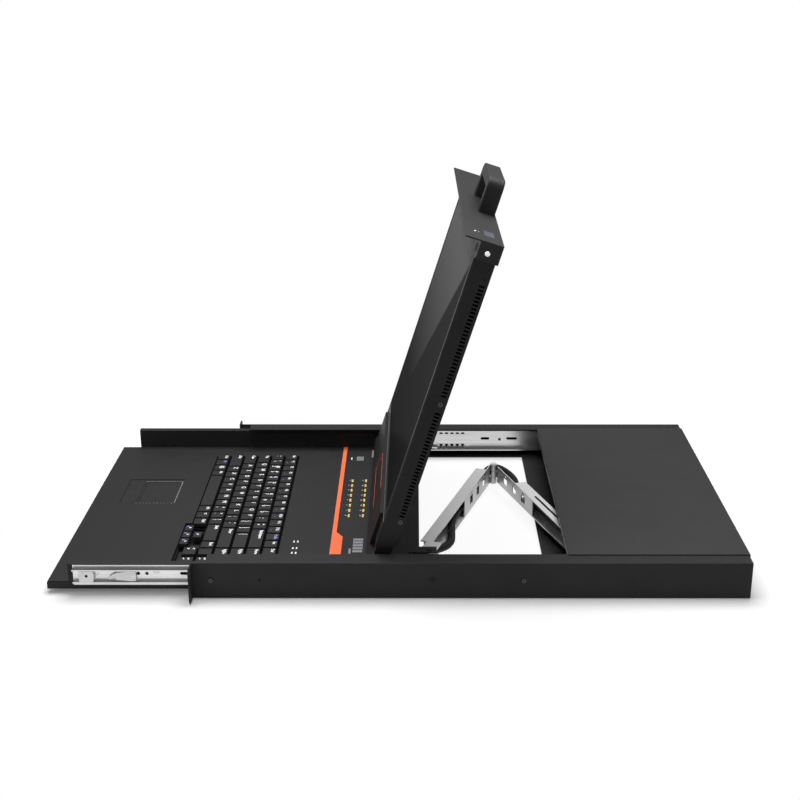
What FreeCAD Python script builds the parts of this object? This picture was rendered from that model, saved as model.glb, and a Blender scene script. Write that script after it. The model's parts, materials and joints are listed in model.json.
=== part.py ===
import FreeCAD, Part
import math
import os
import re
import Sketcher

# Rackmount LCD console drawer, 1U. Millimetres, +Z up, +X to the user's right, +Y into the rack.
# The origin is the centre of the rack-ear hole pattern, on the face that meets the rack posts.
# Heights called "up" are measured from the chassis underside, lengths along the display from its hinge.

SIZES = {
    # chassis and rack ears
    "chassis_wide": 446, "chassis_tall": 44, "chassis_deep": 630, "rail_steel": 1.5,
    "rail_flange": 23, "rail_foot": 19, "flange_start": 15, "rack_wide": 482.6, "ear_steel": 1.5,
    "ear_leg": 42, "ear_corner": 4, "ear_hole_apart": 465.1, "ear_hole_gap": 31.75, "ear_hole": 3.5,
    "fit": 0.3, "plate_steel": 1.2, "floor_front": 404, "cover_front": 425, "cover_lap": 3,
    "cover_lip": 8, "cover_hem": 6, "screw": 2, "screw_head": 3.6,
    # ball-bearing slides
    "slide_rise": 1, "slide_tall": 30, "slide_deep": 10.5, "slide_steel": 1.2, "lip_thick": 1.5,
    "outer_start": 3, "outer_long": 450, "mid_start": 5, "mid_long": 278, "mid_tall": 23.8,
    "mid_steel": 1.0, "mid_lip": 2.0, "inner_start": -137, "inner_long": 380, "inner_web_tall": 25,
    "inner_tall": 16.8, "inner_lip": 1.6, "race_play": 0.1, "ball_outer": 1.4, "ball_inner": 1.2,
    "cage_steel": 0.4, "cage_outer_start": 160, "cage_outer_long": 170, "cage_inner_start": 75,
    "cage_inner_long": 100, "cage_balls": 4, "bumper_start": -129.5, "bumper_long": 17,
    "lever_start": -94.4, "lever_long": 28.8, "lever_pivot": -68, "lever_pin": 1.5, "running": 0.06,
    # tray
    "tray_front": -168, "tray_rear": 244, "tray_step": 256, "tray_half": 209.5, "tray_up": 5, "side_steel": 1.2,
    "side_start": -143, "side_top": 39.8, "side_flange": 7.1, "side_foot": 16, "deck_up": 14,
    "deck_steel": 1.4,
    # keyboard and touchpad
    "keys_half": 173, "keys_front": -28, "keys_rear": 88, "keys_bump": 8, "bump_start": 52,
    "key_top_up": 17, "key_cap": 3.8, "key_gap": 1.2, "key_taper": 1.4, "key_stem": 5,
    "key_board": 3.2, "well_gap": 1,
    "pad_left": -89, "pad_right": -10, "pad_front": -133, "pad_rear": -60, "pad_buttons": 23,
    "pad_split": -56, "pad_edge": 3,
    # selector strip
    "stripe_front": 149, "stripe_wide": 5.3, "stripe_block": 13.5, "stripe_bend": 77.5,
    "stripe_thick": 0.2, "lamp_first": -89, "lamp_pitch": 16.2, "lamp_count": 8, "lamp_row": 164.6,
    "lamp_row_gap": 18, "select_x": -164.5, "select_y": 174, "select_wide": 15, "select_deep": 11,
    # display, along and across from the hinge axis
    "hinge_y": 206, "hinge_up": 27, "display_lean": 17.7, "display_half": 197, "display_long": 377.8,
    "display_back": 16.2, "display_face": 8, "shell_wall": 1.8, "bezel_thick": 2, "barrel": 12.2,
    "foot_inset": 3, "foot_front": 23.7, "foot_back": 31.4, "chin_long": 55, "chin_half": 170,
    "chin_out": 12.3, "chin_low": 14, "screen_wide": 376, "screen_tall": 301, "screen_up": 63,
    "glass_thick": 1.5, "module_thick": 9, "vent_pitch": 4.3, "vent_first": 68.5, "vent_last": 348,
    "vent_high": 2.2, "vent_long": 6, "vent_from_back": 6.3, "vent_gap": 209, "vent_gap_half": 8.5,
    "cap_long": 399, "cap_half": 213, "cap_back": 16.9, "cap_front": 25.2, "cap_steel": 1.5,
    "cap_box": 9, "grip_half": 57, "grip_out": 41.5, "grip_deep": 20, "grip_bar": 14, "grip_leg": 15,
    "grip_back": 15.6, "grip_corner": 12, "hinge_plate": 2, "hinge_pin": 3.5,
    # cable arm
    "arm_x": 170, "arm_y": 268, "arm_fold": 18.6, "arm_long": 279, "arm_rear_long": 300,
    "arm_low": 8, "arm_high": 34, "arm_nest": 1.6, "arm_steel": 1.2, "leaf_gap": 4.5,
    "channel_deep": 14, "leaf_long": 125, "knuckle": 5, "arm_pin": 2.2, "arm_tab": 7, "cable": 4.8,
    # electronics
    "board_front": 492, "board_rear": 612, "board_half": 204, "board_up": 9, "board_thick": 1.6,
    "port_pitch": 31, "port_count": 8, "port_wide": 16.9, "port_high": 8.3, "port_out": 6,
    "port_left": -196, "inlet_x": 150, "inlet_wide": 27.5, "inlet_high": 20, "inlet_deep": 26,
    "inlet_socket": 16, "rocker_x": 184, "rocker_wide": 13, "rocker_high": 19,
}

doc = FreeCAD.newDocument("LcdConsoleDrawer")
sheet = doc.addObject("Spreadsheet::Sheet", "Sizes")
for row, (name, size) in enumerate(SIZES.items(), start=1):
    sheet.set("A%d" % row, name)
    sheet.set("B%d" % row, str(size))
    sheet.setAlias("B%d" % row, name)
doc.recompute()

Vector = FreeCAD.Vector
NODES = []

# Shared levels and places, as formulas over the sheet.
FLOOR = "(-chassis_tall / 2)"
ROOF = "(chassis_tall / 2)"
RAIL_IN = "(chassis_wide / 2 - rail_steel)"
SLIDE_BACK = "(tray_half + slide_deep)"
SLIDE_MID = "(slide_rise)"
DECK = f"({FLOOR} + deck_up)"
DECK_UNDER = f"({DECK} - deck_steel)"
PAN_UNDER = f"({FLOOR} + tray_up + side_steel)"
PAN_TOP = f"({PAN_UNDER} + plate_steel)"
BOARD_TOP = f"({PAN_TOP} + key_board)"
HINGE_Z = f"({FLOOR} + hinge_up)"


def formula(text):
    """A formula over the sheet's aliases, as FreeCAD's expression engine reads it."""
    return re.sub(r"[a-z_]+", lambda word: "Sizes." + word[0] if word[0] in SIZES else word[0], text)


def size(name):
    return float(sheet.get(name))


def unique(label, suffix):
    count = sum(1 for item in doc.Objects if item.Label.startswith(label + suffix))
    return "%s%s%d" % (label, suffix, count)


# ---------------------------------------------------------------- primitives and booleans

def block(label, x, y, z):
    """A box between two formulas along each axis."""
    box = doc.addObject("Part::Box", label)
    for prop, axis, (start, end) in zip(("Length", "Width", "Height"), "xyz", (x, y, z)):
        box.setExpression(prop, formula(f"({end}) - ({start})"))
        box.setExpression("Placement.Base." + axis, formula(start))
    return box


TURNS = {
    "x": FreeCAD.Rotation(Vector(0, 1, 0), 90),
    "y": FreeCAD.Rotation(Vector(1, 0, 0), -90),
    "z": FreeCAD.Rotation(),
}


def rod(label, axis, radius, centre, start, end):
    """A cylinder along one axis. centre gives the other two coordinates in X, Y, Z order."""
    cylinder = doc.addObject("Part::Cylinder", label)
    cylinder.Placement = FreeCAD.Placement(Vector(), TURNS[axis])
    cylinder.setExpression("Radius", formula(radius))
    cylinder.setExpression("Height", formula(f"({end}) - ({start})"))
    places = dict(zip([name for name in "xyz" if name != axis], centre))
    places[axis] = start
    for name, place in places.items():
        cylinder.setExpression("Placement.Base." + name, formula(place))
    return cylinder


def joined(label, pieces):
    fuse = doc.addObject("Part::MultiFuse", label)
    fuse.Shapes = pieces
    fuse.Refine = True
    return fuse


def group(label, pieces):
    """Separate solids that share one node."""
    compound = doc.addObject("Part::Compound", label)
    compound.Links = pieces
    return compound


def minus(label, base, tools):
    cut = doc.addObject("Part::Cut", label)
    cut.Base = base
    cut.Tool = tools[0] if len(tools) == 1 else group(label + "_tools", tools)
    cut.Refine = True
    return cut


def mirrored(label, source):
    """The left-hand twin of a right-hand piece."""
    twin = doc.addObject("Part::Mirroring", label)
    twin.Source = source
    twin.Normal = Vector(1, 0, 0)
    return twin


def shaped(label, shape):
    """A piece whose form is worked out with Part's own functions."""
    feature = doc.addObject("Part::Feature", label)
    feature.Shape = shape
    return feature


def keep(*pieces):
    """Marks finished pieces: each is written to its own file."""
    NODES.extend(pieces)
    return pieces[0]


def both_sides(build, name):
    """A right-hand piece and its mirrored left-hand twin."""
    right = build(name + "_right")
    keep(right, mirrored(name + "_left", right))


def pair(name, pieces):
    """Small pieces and their mirrored twins, as separate solids of one node."""
    right = group(name + "_half", pieces)
    return keep(group(name, [right, mirrored(name + "_twin", right)]))


# ---------------------------------------------------------------- sketched bodies

NORMALS = {"XY_Plane": "", "XZ_Plane": "-", "YZ_Plane": ""}


def new_body(label):
    return doc.addObject("PartDesign::Body", label)


def sketch_on(body, plane, corners, circles, start):
    """A fully constrained sketch: closed polygons and circles whose places are formulas."""
    sketch = body.newObject("Sketcher::SketchObject", unique(body.Label, "_sketch"))
    origin = [item for item in body.Origin.OriginFeatures if item.Role == plane][0]
    sketch.AttachmentSupport = [(origin, "")]
    sketch.MapMode = "FlatFace"
    sketch.setExpression("AttachmentOffset.Base.z", formula(f"{NORMALS[plane]}({start})"))
    limits = []
    for outline in corners:
        count = len(outline)
        first = sketch.GeometryCount
        ring = [Vector(40 * math.cos(2 * math.pi * step / count), 40 * math.sin(2 * math.pi * step / count), 0)
                for step in range(count)]
        for step in range(count):
            sketch.addGeometry(Part.LineSegment(ring[step], ring[(step + 1) % count]), False)
        for step in range(count):
            sketch.addConstraint(Sketcher.Constraint(
                "Coincident", first + step, 2, first + (step + 1) % count, 1))
        for step, (across, along) in enumerate(outline):
            limits.append(("DistanceX", first + step, 1, ring[step].x, across))
            limits.append(("DistanceY", first + step, 1, ring[step].y, along))
    for across, along, radius in circles:
        item = sketch.addGeometry(Part.Circle(Vector(1, 1, 0), Vector(0, 0, 1), 1), False)
        limits.append(("DistanceX", item, 3, 1.0, across))
        limits.append(("DistanceY", item, 3, 1.0, along))
        index = sketch.addConstraint(Sketcher.Constraint("Radius", item, 1.0))
        sketch.setExpression("Constraints[%d]" % index, formula(radius))
    for kind, item, point, now, place in limits:
        index = sketch.addConstraint(Sketcher.Constraint(kind, -1, 1, item, point, now))
        sketch.setExpression("Constraints[%d]" % index, formula(place))
    return sketch


def pad(body, plane, outline, start, end, circles=()):
    """Adds the outline, or circles alone, as a pad from start to end along the plane's axis."""
    feature = body.newObject("PartDesign::Pad", unique(body.Label, "_pad"))
    feature.Profile = sketch_on(body, plane, [outline] if outline else [], circles, start)
    feature.setExpression("Length", formula(f"({end}) - ({start})"))
    feature.Reversed = plane == "XZ_Plane"
    body.Tip = feature
    return feature


def pocket(body, plane, corners, circles, start, end):
    """Cuts outlines and circles out of the body between two places along the plane's axis."""
    feature = body.newObject("PartDesign::Pocket", unique(body.Label, "_pocket"))
    feature.Profile = sketch_on(body, plane, corners, circles, start)
    feature.setExpression("Length", formula(f"({end}) - ({start})"))
    feature.Reversed = plane != "XZ_Plane"
    body.Tip = feature
    return feature


def rounded(body, radius, chosen):
    """Rounds the edges of the body's tip that the test picks."""
    doc.recompute()
    before = body.Tip
    names = ["Edge%d" % (index + 1) for index, edge in enumerate(before.Shape.Edges) if chosen(edge)]
    feature = body.newObject("PartDesign::Fillet", unique(body.Label, "_fillet"))
    feature.Base = (before, names)
    feature.setExpression("Radius", formula(radius))
    body.Tip = feature
    return feature


def box_corners(left, right, low, high):
    return [(left, low), (right, low), (right, high), (left, high)]


def slot_corners(x, z, long, high):
    return box_corners(f"{x} - {long} / 2", f"{x} + {long} / 2", f"{z} - {high} / 2", f"{z} + {high} / 2")


# ---------------------------------------------------------------- chassis

SLIDE_SCREWS = ("outer_start + 18", "outer_start + 267", "outer_start + 370")
SCREW_LEVEL = f"({SLIDE_MID} - 0.8)"


def side_rail(label):
    body = new_body(label)
    out = "chassis_wide / 2"
    pad(body, "XZ_Plane", [
        (f"{out} - rail_foot", FLOOR), (out, FLOOR), (out, ROOF), (f"{out} - rail_flange", ROOF),
        (f"{out} - rail_flange", f"{ROOF} - rail_steel"), (f"{out} - rail_steel", f"{ROOF} - rail_steel"),
        (f"{out} - rail_steel", f"{FLOOR} + rail_steel"), (f"{out} - rail_foot", f"{FLOOR} + rail_steel"),
    ], "0", "chassis_deep")
    rounded(body, "rail_steel * 0.8", lambda edge: edge.Length > size("chassis_deep") - 1
            and abs(edge.CenterOfMass.x - size("chassis_wide") / 2) < 0.01)
    pocket(body, "XY_Plane", [box_corners(f"{out} - rail_flange - 1", f"{out} - 2 * rail_steel", "-1",
                                          "flange_start")], [], f"{ROOF} - 2 * rail_steel", f"{ROOF} + 1")
    holes = [(place, SCREW_LEVEL, "screw + fit") for place in SLIDE_SCREWS]
    pocket(body, "YZ_Plane", [], holes, RAIL_IN + " - 1", f"{out} + 1")
    return body


def rack_ear(label):
    """Front plate with the rack holes, and a leg inside the rail's web."""
    body = new_body(label)
    edge = "rack_wide / 2"
    leg = f"({RAIL_IN} - ear_steel)"
    pad(body, "XZ_Plane", [
        (leg, FLOOR), (f"{edge} - ear_corner", FLOOR), (edge, f"{FLOOR} + ear_corner"),
        (edge, f"{ROOF} - ear_corner"), (f"{edge} - ear_corner", ROOF), (leg, ROOF),
    ], "-ear_steel", "0")
    pad(body, "XZ_Plane", box_corners(leg, RAIL_IN, f"{FLOOR} + rail_steel + fit", f"{ROOF} - rail_steel - fit"),
        "-ear_steel / 2", "ear_leg")
    pocket(body, "XZ_Plane", [], [("ear_hole_apart / 2", f"{turn} ear_hole_gap / 2", "ear_hole")
                                  for turn in ("", "-")], "-ear_steel - 1", "1")
    pocket(body, "YZ_Plane", [], [(SLIDE_SCREWS[0], SCREW_LEVEL, "screw + fit")], leg + " - 1", RAIL_IN + " + 1")
    return body


def chassis_screws():
    """Screws of the slides, and the plates that space the slides off the rails behind the ears."""
    out = "chassis_wide / 2"
    pieces = []
    for number, place in enumerate(SLIDE_SCREWS):
        head = rod("slide_screw_head%d" % number, "x", "screw_head", (place, SCREW_LEVEL), out, f"{out} + 0.8")
        shank = rod("slide_screw_shank%d" % number, "x", "screw", (place, SCREW_LEVEL),
                    SLIDE_BACK + " - slide_steel", out)
        pieces.append(joined("slide_screw%d" % number, [head, shank]))
    for number, place in enumerate(SLIDE_SCREWS[1:]):
        disc = block("spacer_plate%d" % number, (SLIDE_BACK, RAIL_IN), (f"{place} - 7", f"{place} + 7"),
                     (f"{SCREW_LEVEL} - 7", f"{SCREW_LEVEL} + 7"))
        bore = rod("spacer_bore%d" % number, "x", "screw", (place, SCREW_LEVEL),
                   SLIDE_BACK + " - 1", RAIL_IN + " + 1")
        pieces.append(minus("spacer%d" % number, disc, [bore]))
    return pair("chassis_screws", pieces)


def rear_floor():
    body = new_body("rear_floor")
    top = f"{FLOOR} + rail_steel"
    pad(body, "XY_Plane", box_corners(f"-{RAIL_IN} + fit", f"{RAIL_IN} - fit", "floor_front", "chassis_deep"),
        top, f"{top} + plate_steel")
    slots = [slot_corners(f"{x}", f"{y}", "60", "4") for x in (-120, -40, 40) for y in (540, 560, 580)]
    pocket(body, "XY_Plane", slots, [], f"{top} - 1", f"{top} + plate_steel + 1")
    return keep(body)


FLOOR_TOP = f"({FLOOR} + rail_steel + plate_steel)"


def port_places():
    for row, up in enumerate((12.5, 29.5)):
        for column in range(int(size("port_count"))):
            yield (row, column, f"port_left + {column} * port_pitch", f"{FLOOR} + {up}")


def d_outline(x, z, wide, high):
    """The D shape of a connector shell: its long side is up."""
    return [(f"{x} - {wide} / 2", f"{z} + {high} / 2"), (f"{x} - {wide} / 2 + 1.6", f"{z} - {high} / 2"),
            (f"{x} + {wide} / 2 - 1.6", f"{z} - {high} / 2"), (f"{x} + {wide} / 2", f"{z} + {high} / 2")]


def rear_panel():
    body = new_body("rear_panel")
    inner = "(chassis_deep - plate_steel)"
    pad(body, "XZ_Plane", box_corners(f"-{RAIL_IN} + fit", f"{RAIL_IN} - fit", FLOOR_TOP,
                                      f"{ROOF} - rail_steel - fit"), inner, "chassis_deep")
    windows = [d_outline(x, z, "(port_wide + 2 * fit)", "(port_high + 2 * fit)")
               for row, column, x, z in port_places()]
    windows.append(box_corners("inlet_x - inlet_wide / 2 - fit", "inlet_x + inlet_wide / 2 + fit",
                               "-inlet_high / 2 - fit", "inlet_high / 2 + fit"))
    windows.append(box_corners("rocker_x - rocker_wide / 2 - 1", "rocker_x + rocker_wide / 2 + 1",
                               "-rocker_high / 2 - 1", "rocker_high / 2 + 1"))
    windows.append(box_corners("78", "92", f"{FLOOR} + 8", f"{FLOOR} + 24"))
    pocket(body, "XZ_Plane", windows, [], f"{inner} - 1", "chassis_deep + 1")
    return keep(body)


def top_cover():
    """Cover plate that rests on the rail flanges, with a stiffening hem in front and a lip behind."""
    half = "(chassis_wide / 2 - rail_flange + cover_lap)"
    inside = "(chassis_wide / 2 - rail_flange - fit)"
    body = new_body("top_cover")
    pad(body, "XY_Plane", box_corners(f"-{half}", half, "cover_front", "chassis_deep + plate_steel + fit"),
        ROOF, f"{ROOF} + plate_steel")
    pad(body, "XZ_Plane", box_corners(f"-{inside}", inside, f"{ROOF} - cover_hem", f"{ROOF} + plate_steel / 2"),
        "cover_front", "cover_front + plate_steel")
    pad(body, "XZ_Plane", box_corners(f"-{half}", half, f"{ROOF} - cover_lip", f"{ROOF} + plate_steel / 2"),
        "chassis_deep + fit", "chassis_deep + plate_steel + fit")
    rounded(body, "plate_steel * 0.8", lambda edge: edge.Length > 1.9 * size("display_half")
            and abs(edge.CenterOfMass.z - size("chassis_tall") / 2 - size("plate_steel")) < 0.01
            and abs(edge.CenterOfMass.x) < 0.01)
    return keep(body)


# ---------------------------------------------------------------- electronics behind the arm

CHIPS = [(-150, 520, 24, 24, 2), (-100, 520, 14, 20, 2), (-40, 524, 30, 30, 3), (20, 520, 14, 20, 2),
         (60, 520, 10, 14, 6), (-170, 560, 14, 9, 2), (-110, 560, 14, 9, 2), (-50, 562, 14, 9, 2),
         (10, 562, 14, 9, 2), (60, 556, 12, 12, 11)]


def switch_board():
    """Circuit board on standoffs, with its chips."""
    low = f"{FLOOR} + board_up"
    top = f"{low} + board_thick"
    posts = [(x, y) for x in (-194, 60) for y in (500, 603)]
    board = new_body("switch_board_plate")
    pad(board, "XY_Plane", box_corners("-board_half", "inlet_x - 50", "board_front", "board_rear"),
        low, top)
    pieces = [board]
    for number, (x, y) in enumerate(posts):
        pieces.append(rod("board_standoff%d" % number, "z", "3", (f"{x}", f"{y}"), FLOOR_TOP, low))
    for number, (x, y, wide, deep, high) in enumerate(CHIPS):
        pieces.append(block("board_chip%d" % number, (f"{x - wide / 2}", f"{x + wide / 2}"),
                            (f"{y - deep / 2}", f"{y + deep / 2}"), (top, f"{top} + {high}")))
    pieces.append(block("board_header", ("76", "96"), ("board_front + 10", "board_front + 20"), (top, f"{top} + 12")))
    return keep(group("switch_board", pieces))


def power_supply():
    case = block("power_supply_case", ("inlet_x - 45", "tray_half - 3"), ("board_front", "590"),
                 (FLOOR_TOP, f"{ROOF} - rail_steel - 6"))
    vents = [block("power_supply_vent%d" % step, ("inlet_x - 46", "inlet_x - 43"),
                   (f"board_front + {12 + 8 * step}", f"board_front + {15 + 8 * step}"), ("-10", "8"))
             for step in range(9)]
    return keep(minus("power_supply", case, vents))


def port_connectors():
    """Two rows of shells with their moulded bodies behind the panel, and the stacked host sockets."""
    inner = "(chassis_deep - plate_steel)"
    pieces = []
    for row, column, x, z in port_places():
        piece = new_body("port_%d_%d" % (row, column))
        pad(piece, "XZ_Plane", d_outline(x, z, "port_wide", "port_high"), f"{inner} - 1", "chassis_deep + port_out")
        pad(piece, "XZ_Plane", box_corners(f"{x} - 15", f"{x} + 15", f"{z} - 6.2", f"{z} + 6.2"),
            f"{inner} - 11", f"{inner} - fit / 3")
        pieces.append(piece)
    pieces.append(block("host_sockets", ("79", "91"), ("chassis_deep - 17", "chassis_deep + 0.6"),
                        (f"{FLOOR} + 9", f"{FLOOR} + 23")))
    return keep(group("port_connectors", pieces))


def power_inlet():
    """Three-blade appliance inlet: hollow socket with its blades."""
    shell = block("power_inlet_shell", ("inlet_x - inlet_wide / 2", "inlet_x + inlet_wide / 2"),
                  ("chassis_deep - inlet_deep", "chassis_deep"), ("-inlet_high / 2", "inlet_high / 2"))
    rim = block("power_inlet_rim", ("inlet_x - inlet_wide / 2 - 2", "inlet_x + inlet_wide / 2 + 2"),
                ("chassis_deep", "chassis_deep + 2"), ("-inlet_high / 2 - 2", "inlet_high / 2 + 2"))
    socket = block("power_inlet_socket", ("inlet_x - 12", "inlet_x + 12"),
                   ("chassis_deep + 2 - inlet_socket", "chassis_deep + 3"), ("-8", "8"))
    blades = [block("power_inlet_blade%d" % number, (f"inlet_x + {x} - 1", f"inlet_x + {x} + 1"),
                    ("chassis_deep - inlet_deep + 4", "chassis_deep - 1"), (f"{z} - 2", f"{z} + 2"))
              for number, (x, z) in enumerate(((-7, -2), (0, 3), (7, -2)))]
    hollow = minus("power_inlet_hollow", joined("power_inlet_case", [shell, rim]), [socket])
    half, high = "rocker_wide / 2", "rocker_high / 2"
    frame = block("rocker_frame_blank", (f"rocker_x - {half} - 0.8", f"rocker_x + {half} + 0.8"),
                  ("chassis_deep - 14", "chassis_deep + 1"), (f"-{high} - 0.8", f"{high} + 0.8"))
    well = block("rocker_frame_well", (f"rocker_x - {half} + 0.7", f"rocker_x + {half} - 0.7"),
                 ("chassis_deep - 11", "chassis_deep + 2"), (f"-{high} + 0.7", f"{high} - 0.7"))
    bore = rod("rocker_frame_bore", "x", "1 + running", ("chassis_deep - 4", "0"),
               f"rocker_x - {half} - 2", f"rocker_x + {half} + 2")
    return keep(group("power_inlet", [joined("power_inlet_body", [hollow] + blades),
                                      minus("rocker_frame", frame, [well, bore])]))


def power_rocker():
    """Tilting cap of the mains switch, on its cross pin."""
    body = new_body("power_rocker_cap")
    half = "(rocker_high / 2 - 2.6)"
    pad(body, "YZ_Plane", [("chassis_deep - 3", f"-{half}"), ("chassis_deep + 2.2", f"-{half}"),
                           ("chassis_deep + 0.4", "0"), ("chassis_deep + 0.4", half), ("chassis_deep - 3", half),
                           ("chassis_deep - 8", "2"), ("chassis_deep - 8", "-2")],
        "rocker_x - rocker_wide / 2 + 1.2", "rocker_x + rocker_wide / 2 - 1.2")
    pin = rod("power_rocker_pin", "x", "1", ("chassis_deep - 4", "0"), "rocker_x - rocker_wide / 2 + 0.1",
              "rocker_x + rocker_wide / 2 - 0.1")
    return keep(joined("power_rocker", [body, pin]))


# ---------------------------------------------------------------- ball-bearing slides

RACE_OUTER = "(slide_tall / 2 - lip_thick - ball_outer * 0.57)"
RACE_INNER = "(inner_tall / 2 + ball_inner * 0.58)"


def inward(depth):
    """Place along X, measured from the back of the outer slide member towards the tray."""
    return f"({SLIDE_BACK} - ({depth}))"


def channel_outline(web_back, web_steel, lip_end, half, lip):
    """C section that opens towards lip_end."""
    web, face, end = inward(web_back), inward(f"{web_back} + {web_steel}"), inward(lip_end)
    low, high = f"{SLIDE_MID} - {half}", f"{SLIDE_MID} + {half}"
    return [(web, low), (end, low), (end, f"{low} + {lip}"), (face, f"{low} + {lip}"),
            (face, f"{high} - {lip}"), (end, f"{high} - {lip}"), (end, high), (web, high)]


def race_pair(race, radius):
    """The two ball grooves of a race, as circles in the slide's section."""
    return [(inward("slide_deep * 0.54"), f"{SLIDE_MID} {sign} {race}", f"{radius} + race_play") for sign in "+-"]


def slide_outer(label):
    """Fixed member: web against the rail, lips rolled to a ball groove."""
    body = new_body(label)
    end = "(outer_start + outer_long)"
    pad(body, "XZ_Plane", channel_outline("0", "slide_steel", "slide_deep - 0.9", "slide_tall / 2", "lip_thick"),
        "outer_start", end)
    pocket(body, "XZ_Plane", [], race_pair(RACE_OUTER, "ball_outer"), "outer_start - 1", f"{end} + 1")
    slots = [box_corners(start, stop, f"{SLIDE_MID} - 1.2", f"{SLIDE_MID} + 2.2") for start, stop in (
        ("outer_start + 60", "outer_start + 75"), ("outer_start + 343", "outer_start + 355"),
        ("outer_start + 380", "outer_start + 395"))]
    holes = [(place, SCREW_LEVEL, "screw") for place in SLIDE_SCREWS]
    pocket(body, "YZ_Plane", slots, holes, inward("slide_steel + 0.3"), f"{SLIDE_BACK} + 1")
    return body


def slide_mid(label):
    """Intermediate member: grooved on both faces of its lips."""
    body = new_body(label)
    end = "(mid_start + mid_long)"
    pad(body, "XZ_Plane", channel_outline("slide_steel + 1", "mid_steel", "slide_deep - 1.5", "mid_tall / 2", "mid_lip"),
        "mid_start", end)
    pocket(body, "XZ_Plane", [], race_pair(RACE_OUTER, "ball_outer"), "mid_start - 1", f"{end} + 1")
    pocket(body, "XZ_Plane", [], race_pair(RACE_INNER, "ball_inner"), "mid_start - 1", f"{end} + 1")
    web = (inward("slide_steel + 1.2 + mid_steel"), inward("slide_steel + 0.6"))
    pocket(body, "YZ_Plane", [box_corners("mid_start + 200", "mid_start + 214", f"{SLIDE_MID} - 2", f"{SLIDE_MID} + 2")],
           [("mid_start + 40", SLIDE_MID, "2.5"), ("mid_start + 120", SLIDE_MID, "2.5")], *web)
    return body


def slide_inner(label):
    """Tray member: wide web screwed to the tray side, with two race flanges."""
    body = new_body(label)
    end = "(inner_start + inner_long)"
    pad(body, "XZ_Plane", channel_outline("slide_deep - slide_steel + 0.1", "slide_steel - 0.1",
                                          "slide_steel + mid_steel + 2.2", "inner_tall / 2", "inner_lip"),
        "inner_start", end)
    pad(body, "XZ_Plane", box_corners(inward("slide_deep"), inward("slide_deep - slide_steel + 0.1"),
                                      f"{SLIDE_MID} - inner_web_tall / 2", f"{SLIDE_MID} + inner_web_tall / 2"),
        "inner_start", end)
    pad(body, "YZ_Plane", None, inward("slide_deep - slide_steel / 2"), inward("slide_steel + mid_steel + 3"),
        [("lever_pivot", SLIDE_MID, "lever_pin")])
    pocket(body, "XZ_Plane", [], race_pair(RACE_INNER, "ball_inner"), "inner_start - 1", f"{end} + 1")
    web = (inward("slide_deep + 0.2"), inward("slide_deep - slide_steel - 0.2"))
    pocket(body, "YZ_Plane", [box_corners("-15", "-4", f"{SLIDE_MID} + 0.4", f"{SLIDE_MID} + 3.6")],
           [("-53", f"{SLIDE_MID} + 2", "2"), ("60", SLIDE_MID, "2"), ("200", SLIDE_MID, "2")], *web)
    return body


CAGES = {
    "outer": ("slide_steel + 0.3", "slide_deep - 2.1", RACE_OUTER, "ball_outer", "cage_outer_start", "cage_outer_long"),
    "inner": ("slide_steel + mid_steel + 1.4", "slide_deep - 1.9", RACE_INNER, "ball_inner",
              "cage_inner_start", "cage_inner_long"),
}


def ball_step(start, long, number):
    return f"({start} + {long} * (2 * {number} + 1) / (2 * cage_balls))"


def ball_at(x, y, z, radius):
    """A ball with flat facets, two rings between its poles."""
    rings = []
    for lean in (math.pi / 5, math.pi / 2, 4 * math.pi / 5):
        rings.append([Vector(x + radius * math.sin(lean) * math.cos(turn * math.pi / 4),
                             y + radius * math.sin(lean) * math.sin(turn * math.pi / 4),
                             z + radius * math.cos(lean)) for turn in range(8)])
    top, low = Vector(x, y, z + radius), Vector(x, y, z - radius)
    faces = []
    for turn in range(8):
        after = (turn + 1) % 8
        corners = [(top, rings[0][turn], rings[0][after]), (low, rings[2][after], rings[2][turn])]
        corners += [(upper[turn], lower[turn], lower[after], upper[after])
                    for upper, lower in ((rings[0], rings[1]), (rings[1], rings[2]))]
        faces += [Part.Face(Part.makePolygon(list(places) + [places[0]])) for places in corners]
    return Part.makeSolid(Part.makeShell(faces))


def ball_cages(kind):
    """Bent strip with a pocket for each ball, and its balls, in both slides."""
    label = "ball_cages_" + kind
    web, lip_end, race, ball, start, long = CAGES[kind]
    body = new_body(label + "_strip")
    pad(body, "XZ_Plane", channel_outline(web, "cage_steel", lip_end, f"({race} + cage_steel / 2)", "cage_steel"),
        start, f"{start} + {long}")
    places = [ball_step(start, long, number) for number in range(int(size("cage_balls")))]
    middle, room = inward("slide_deep * 0.54"), f"({ball} + 0.15)"
    pocket(body, "XY_Plane", [box_corners(f"{middle} - {room}", f"{middle} + {room}", f"{place} - {room}",
                                          f"{place} + {room}") for place in places],
           [], f"{SLIDE_MID} - {race} - 1", f"{SLIDE_MID} + {race} + 1")
    gauge = block(label + "_gauge", (middle, middle + " + 1"), (race, race + " + 1"), ("0", "1"))
    doc.recompute()
    x, rise = gauge.Placement.Base.x, gauge.Placement.Base.y
    doc.removeObject(gauge.Name)
    reach = size(start), size(long) / size("cage_balls")
    balls = [ball_at(x, reach[0] + reach[1] * (number + 0.5), size("slide_rise") + sign * rise, size(ball))
             for number in range(len(places)) for sign in (1, -1)]
    return pair(label, [body, shaped(label + "_balls", Part.makeCompound(balls))])


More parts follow.
